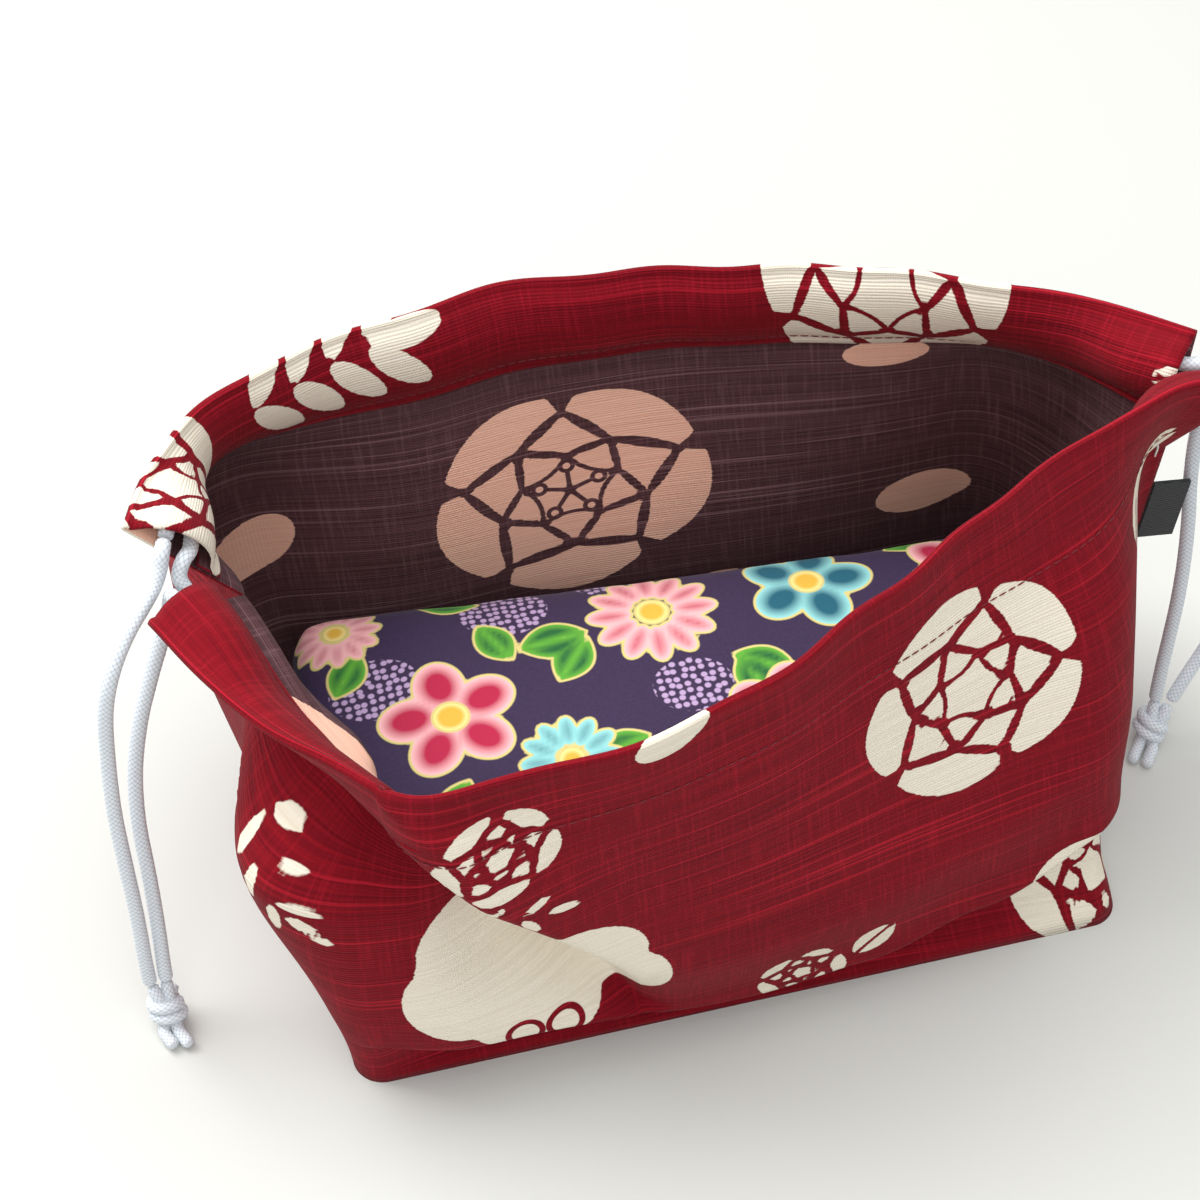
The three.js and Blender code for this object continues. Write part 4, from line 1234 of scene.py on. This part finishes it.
def flower_depth(kind):
    """Depth inside the shapes of one colour, and inside their hearts."""
    deep = np.full(len(flat), -9.0)
    heart = np.full(len(flat), -9.0)
    for centre, size, form in FLOWERS[kind]:
        if kind == "green":
            cells = leaf(centre, size, 0.62 * size, form)
        elif kind == "pale":
            cells = petal(centre, 2.6 * size, 2.2 * size)
        else:
            cells = chrysanthemum(centre, size) if form == "mum" else plum(centre, size, 10 * centre[0])
            heart = np.maximum(heart, 0.24 * size - np.linalg.norm(flat - centre, axis=1))
        near = np.flatnonzero(np.linalg.norm(flat - centre, axis=1) < 1.5 * size + 4)
        for outline in cells:
            deep[near] = np.maximum(deep[near], depth_inside(flat[near], outline))
    return deep, heart


channels = {}
for kind in FLOWERS:
    channels[kind], heart = flower_depth(kind)
    channels["heart"] = np.maximum(channels.get("heart", heart), heart)
for name, values in channels.items():
    layer = bundle.data.attributes.new("flower_" + name, "FLOAT", "POINT")
    layer.data.foreach_set("value", values.astype(np.float32))

turned = Matrix.Translation(BUNDLE_PLACE * MM) @ Matrix.Rotation(BUNDLE_TURN, 4, "Z")
bundle.data.transform(turned)
print("folded cloth triangles", sum(len(p.vertices) - 2 for p in bundle.data.polygons))


# %% Finish of the folded cloth
DOT_SPACING_MM, DOT_RADIUS = 2.3, 0.36


def flowered_cotton():
    """Fine purple cotton with painted flowers, each edged with gold."""
    material, tree = new_material("printed_purple_cotton")
    place = node(tree, "ShaderNodeTexCoord").outputs["Object"]
    weave = node(
        tree, "ShaderNodeTexNoise", {"Vector": place, "Scale": 1400.0, "Detail": 2.0},
    ).outputs["Fac"]
    colour = give(tree, "blend", weave, linear("#22132f"), linear("#3a2450"))
    paints = (
        ("pale", "#b59ac0", "#b59ac0", 0.0), ("green", "#0f5f2a", "#5aa52e", 2.2),
        ("teal", "#0f5a6e", "#8fd0cf", 3.6), ("pink", "#b31240", "#f3b6b8", 3.6),
        ("heart", "#e3b23c", "#f3dc8a", 1.5),
    )
    for kind, middle, edge, fade in paints:
        deep = node(tree, "ShaderNodeAttribute", attribute_name="flower_" + kind).outputs["Fac"]
        if kind == "pale":
            dot = node(tree, "ShaderNodeTexVoronoi", {
                "Vector": place, "Scale": 1 / (DOT_SPACING_MM * MM), "Randomness": 0.45,
            }, voronoi_dimensions="2D").outputs["Distance"]
            small = give(tree, "MULTIPLY", give(tree, "SUBTRACT", DOT_RADIUS, dot), 2.0)
            deep = give(tree, "MINIMUM", deep, small)
        paint = linear(middle)
        if fade:
            paint = give(tree, "blend", give(tree, "ramp", deep, 0.3, fade), linear(edge), linear(middle))
            rim = give(tree, "ramp", deep, -0.9, -0.5)
            colour = give(tree, "blend", rim, colour, linear("#d8c77c"))
        colour = give(tree, "blend", give(tree, "ramp", deep, -0.15, 0.15), colour, paint)
    bump = node(tree, "ShaderNodeBump", {"Height": weave, "Strength": 0.3, "Distance": 0.0002})
    cloth = node(tree, "ShaderNodeBsdfPrincipled", {
        "Base Color": colour, "Roughness": 0.82, "Normal": bump.outputs[0], "Sheen Weight": 0.1,
    })
    node(tree, "ShaderNodeOutputMaterial", {"Surface": cloth.outputs[0]})
    return material


bundle.data.materials.clear()
bundle.data.materials.append(flowered_cotton())

# %% [markdown]
# ## The side tab
# A short folded piece of black woven ribbon is caught in the right seam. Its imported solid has
# the right form already, so it only gets the ribbon's finish: fine ribs and a faint sheen.

# %% Side tab
RIB_MM = 0.7
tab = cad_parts["side_tab"]


def black_ribbon():
    """Woven ribbon: fine ribs across with painted shade in the grooves between them, a faint sheen."""
    material, tree = new_material("woven_black_ribbon")
    place = node(tree, "ShaderNodeTexCoord").outputs["Object"]
    parts = node(tree, "ShaderNodeSeparateXYZ", {0: place})
    turns = give(tree, "MULTIPLY", parts.outputs[2], 2 * math.pi / (RIB_MM * MM))
    ribs = give(tree, "SINE", turns)
    # Painted shade and highlight: the ribs are lighter on their crests and darker in the grooves between
    # them.
    colour = give(tree, "blend", give(tree, "ramp", ribs, -1.0, 1.0), linear("#101214"), linear("#23272a"))
    bump = node(tree, "ShaderNodeBump", {"Height": ribs, "Strength": 0.5, "Distance": 0.0002})
    ribbon = node(tree, "ShaderNodeBsdfPrincipled", {
        "Base Color": colour, "Roughness": 0.6, "Normal": bump.outputs[0], "Sheen Weight": 0.1,
    })
    node(tree, "ShaderNodeOutputMaterial", {"Surface": ribbon.outputs[0]})
    return material


tab.data.materials.clear()
tab.data.materials.append(black_ribbon())

# %% [markdown]
# ## Thread
# The casings are held by a row of machine stitches, which shows on both faces of the cloth. A
# stitch is a short thread pressed into the cloth, so one is modelled as a small six-sided
# cylinder with pinched ends and is copied along the row. The raw seam inside is overlocked
# with white thread in a zigzag, and a few thread ends stand at the foot of the right slit.

# %% Rows of stitches
STITCH_PITCH, STITCH_LENGTH, STITCH_THREAD = 2.7, 2.1, 0.5
STITCH_PINCH, STITCH_FLAT, STITCH_RISE = 0.55, 0.6, 0.12
start_clean()
bpy.ops.mesh.primitive_cylinder_add(vertices=6, radius=STITCH_THREAD / 2, depth=STITCH_LENGTH)
sample = bpy.context.object
bpy.ops.object.mode_set(mode="EDIT")
bpy.ops.mesh.select_all(action="SELECT")
bpy.ops.mesh.subdivide(number_cuts=1)
bpy.ops.object.mode_set(mode="OBJECT")
thread_points = np.array([v.co for v in sample.data.vertices])
pinch = 1 - STITCH_PINCH * (np.abs(thread_points[:, 2]) / (STITCH_LENGTH / 2)) ** 4
thread_points[:, :2] *= pinch[:, None]
thread_faces = [tuple(f.vertices) for f in sample.data.polygons]
bpy.data.objects.remove(sample)


def stitch_row(line, outward):
    """Thread points of one row: each stitch follows the line and lies on the cloth."""
    run = np.concatenate([[0], np.cumsum(np.linalg.norm(np.diff(line, axis=0), axis=1))])
    at = np.arange(STITCH_PITCH, run[-1] - STITCH_PITCH, STITCH_PITCH)
    centre = np.stack([np.interp(at, run, line[:, k]) for k in range(3)], -1)
    ahead = np.stack([np.interp(at + 1, run, line[:, k]) for k in range(3)], -1) - centre
    out = np.stack([np.interp(at, run, outward[:, k]) for k in range(3)], -1)
    ahead /= np.linalg.norm(ahead, axis=1)[:, None]
    side = np.cross(out, ahead)
    side /= np.linalg.norm(side, axis=1)[:, None]
    out = np.cross(ahead, side)
    x, y, z = thread_points.T
    return (
        centre[:, None] + side[:, None] * x[None, :, None]
        + out[:, None] * (y[None, :, None] * STITCH_FLAT + STITCH_RISE)
        + ahead[:, None] * z[None, :, None]
    )


def stitches(name, rows):
    """One mesh that holds every stitch of these rows."""
    blocks = np.concatenate([stitch_row(*row) for row in rows]).reshape(-1, 3) * MM
    count = len(thread_points)
    faces = [
        tuple(i + k * count for i in face)
        for k in range(len(blocks) // count) for face in thread_faces
    ]
    mesh = bpy.data.meshes.new(name)
    mesh.from_pydata(blocks.tolist(), [], faces)
    piece = bpy.data.objects.new(name, mesh)
    scene.collection.objects.link(piece)
    print(name, len(blocks) // count, "stitches")
    return piece


ALONG = np.linspace(0.004, 0.996, 400)
HEM_LEVEL = 0.07
casing_rows = []
for side in (FRONT, BACK):
    level = casing_level(HEM_LEVEL) + 0 * ALONG
    wall, out = wall_at(side, ALONG, level), normal_at(side, ALONG, level)
    depth = HEM_DEPTH - 0.2 * HEM_LEVEL + hollow_at(HEM_LEVEL, ALONG)
    casing_rows += [(wall, out), (wall - out * depth[:, None], -out)]
casing_thread = stitches("casing_stitches", casing_rows)

# %% Overlocked seam and thread ends
ZIGZAG_STEP, OVERLOCK_THREAD = 1.7, 0.55


def thread_piece(name, lines, diameter):
    """Threads along these lines, as one mesh."""
    made = [braided_tube(name, smooth_line(line, 0.5), diameter)[0] for line in lines]
    pick(*made)
    if len(made) > 1:
        bpy.ops.object.join()
    bpy.context.object.name = name
    return bpy.context.object


heights = np.arange(0.52, SLIT - 0.01, ZIGZAG_STEP / RIM_HEIGHT)
sway = 0.016 + 0.007 * (-1.0) ** np.arange(len(heights))
seam_inside = wall_at(BACK, sway, heights) - normal_at(BACK, sway, heights) * (THICKNESS + 0.3)
thread_foot = SLIT_RIGHT + np.array([-2.5, 0, -3])
thread_ends = [
    [(0, 0, 0), (-3, 2, 5), (-7, 1, 7), (-8, -2, 3), (-5, -3, -1)],
    [(0, 0, 0), (-1, -2, 6), (-4, -4, 10), (-6, -3, 12)],
]
white_thread = thread_piece("white_thread", [
    seam_inside, *[[thread_foot + step for step in end] for end in thread_ends],
], OVERLOCK_THREAD)


def sewing_thread(name, code):
    """Polyester sewing thread: a slight sheen along its twist."""
    material, tree = new_material(name)
    place = node(tree, "ShaderNodeTexCoord").outputs["Object"]
    fibre = node(tree, "ShaderNodeTexNoise", {"Vector": place, "Scale": 2500.0}).outputs["Fac"]
    darker = tuple(0.6 * c for c in linear(code)[:3]) + (1.0,)
    thread = node(tree, "ShaderNodeBsdfPrincipled", {
        "Base Color": give(tree, "blend", fibre, darker, linear(code)), "Roughness": 0.55,
    })
    node(tree, "ShaderNodeOutputMaterial", {"Surface": thread.outputs[0]})
    return material


casing_thread.data.materials.append(sewing_thread("dark_red_thread", "#7a1020"))
white_thread.data.materials.clear()
white_thread.data.materials.append(sewing_thread("white_thread", "#eceae6"))
for piece in (casing_thread, white_thread):
    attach(piece, "root")

# %% [markdown]
# ## Riding on the imported model
# Nothing on this pouch is jointed, so every piece rides on the one body, "root". Each fine piece
# stands for its imported solid.


def stand_for(piece, packed, slot, *finish):
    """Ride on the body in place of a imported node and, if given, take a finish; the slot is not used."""
    for material in finish:
        piece.data.materials.clear()
        piece.data.materials.append(material)
    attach(piece, "root")
    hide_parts(packed)


stand_for(bundle, "folded_bundle", "folded_bundle")
for name, (piece, line) in cords.items():
    stand_for(piece, name, "cord", cord_cotton)
for name, piece in runs.items():
    stand_for(piece, name, "cord", cord_cotton)
for side, piece in knots.items():
    stand_for(piece, side + "_knot", "cord", cord_cotton)
for name, (piece, line) in cords.items():
    side = name.split("_")[0]
stand_for(bag, "bag_cloth", "bag_cloth")
print("free strands", list(cords))
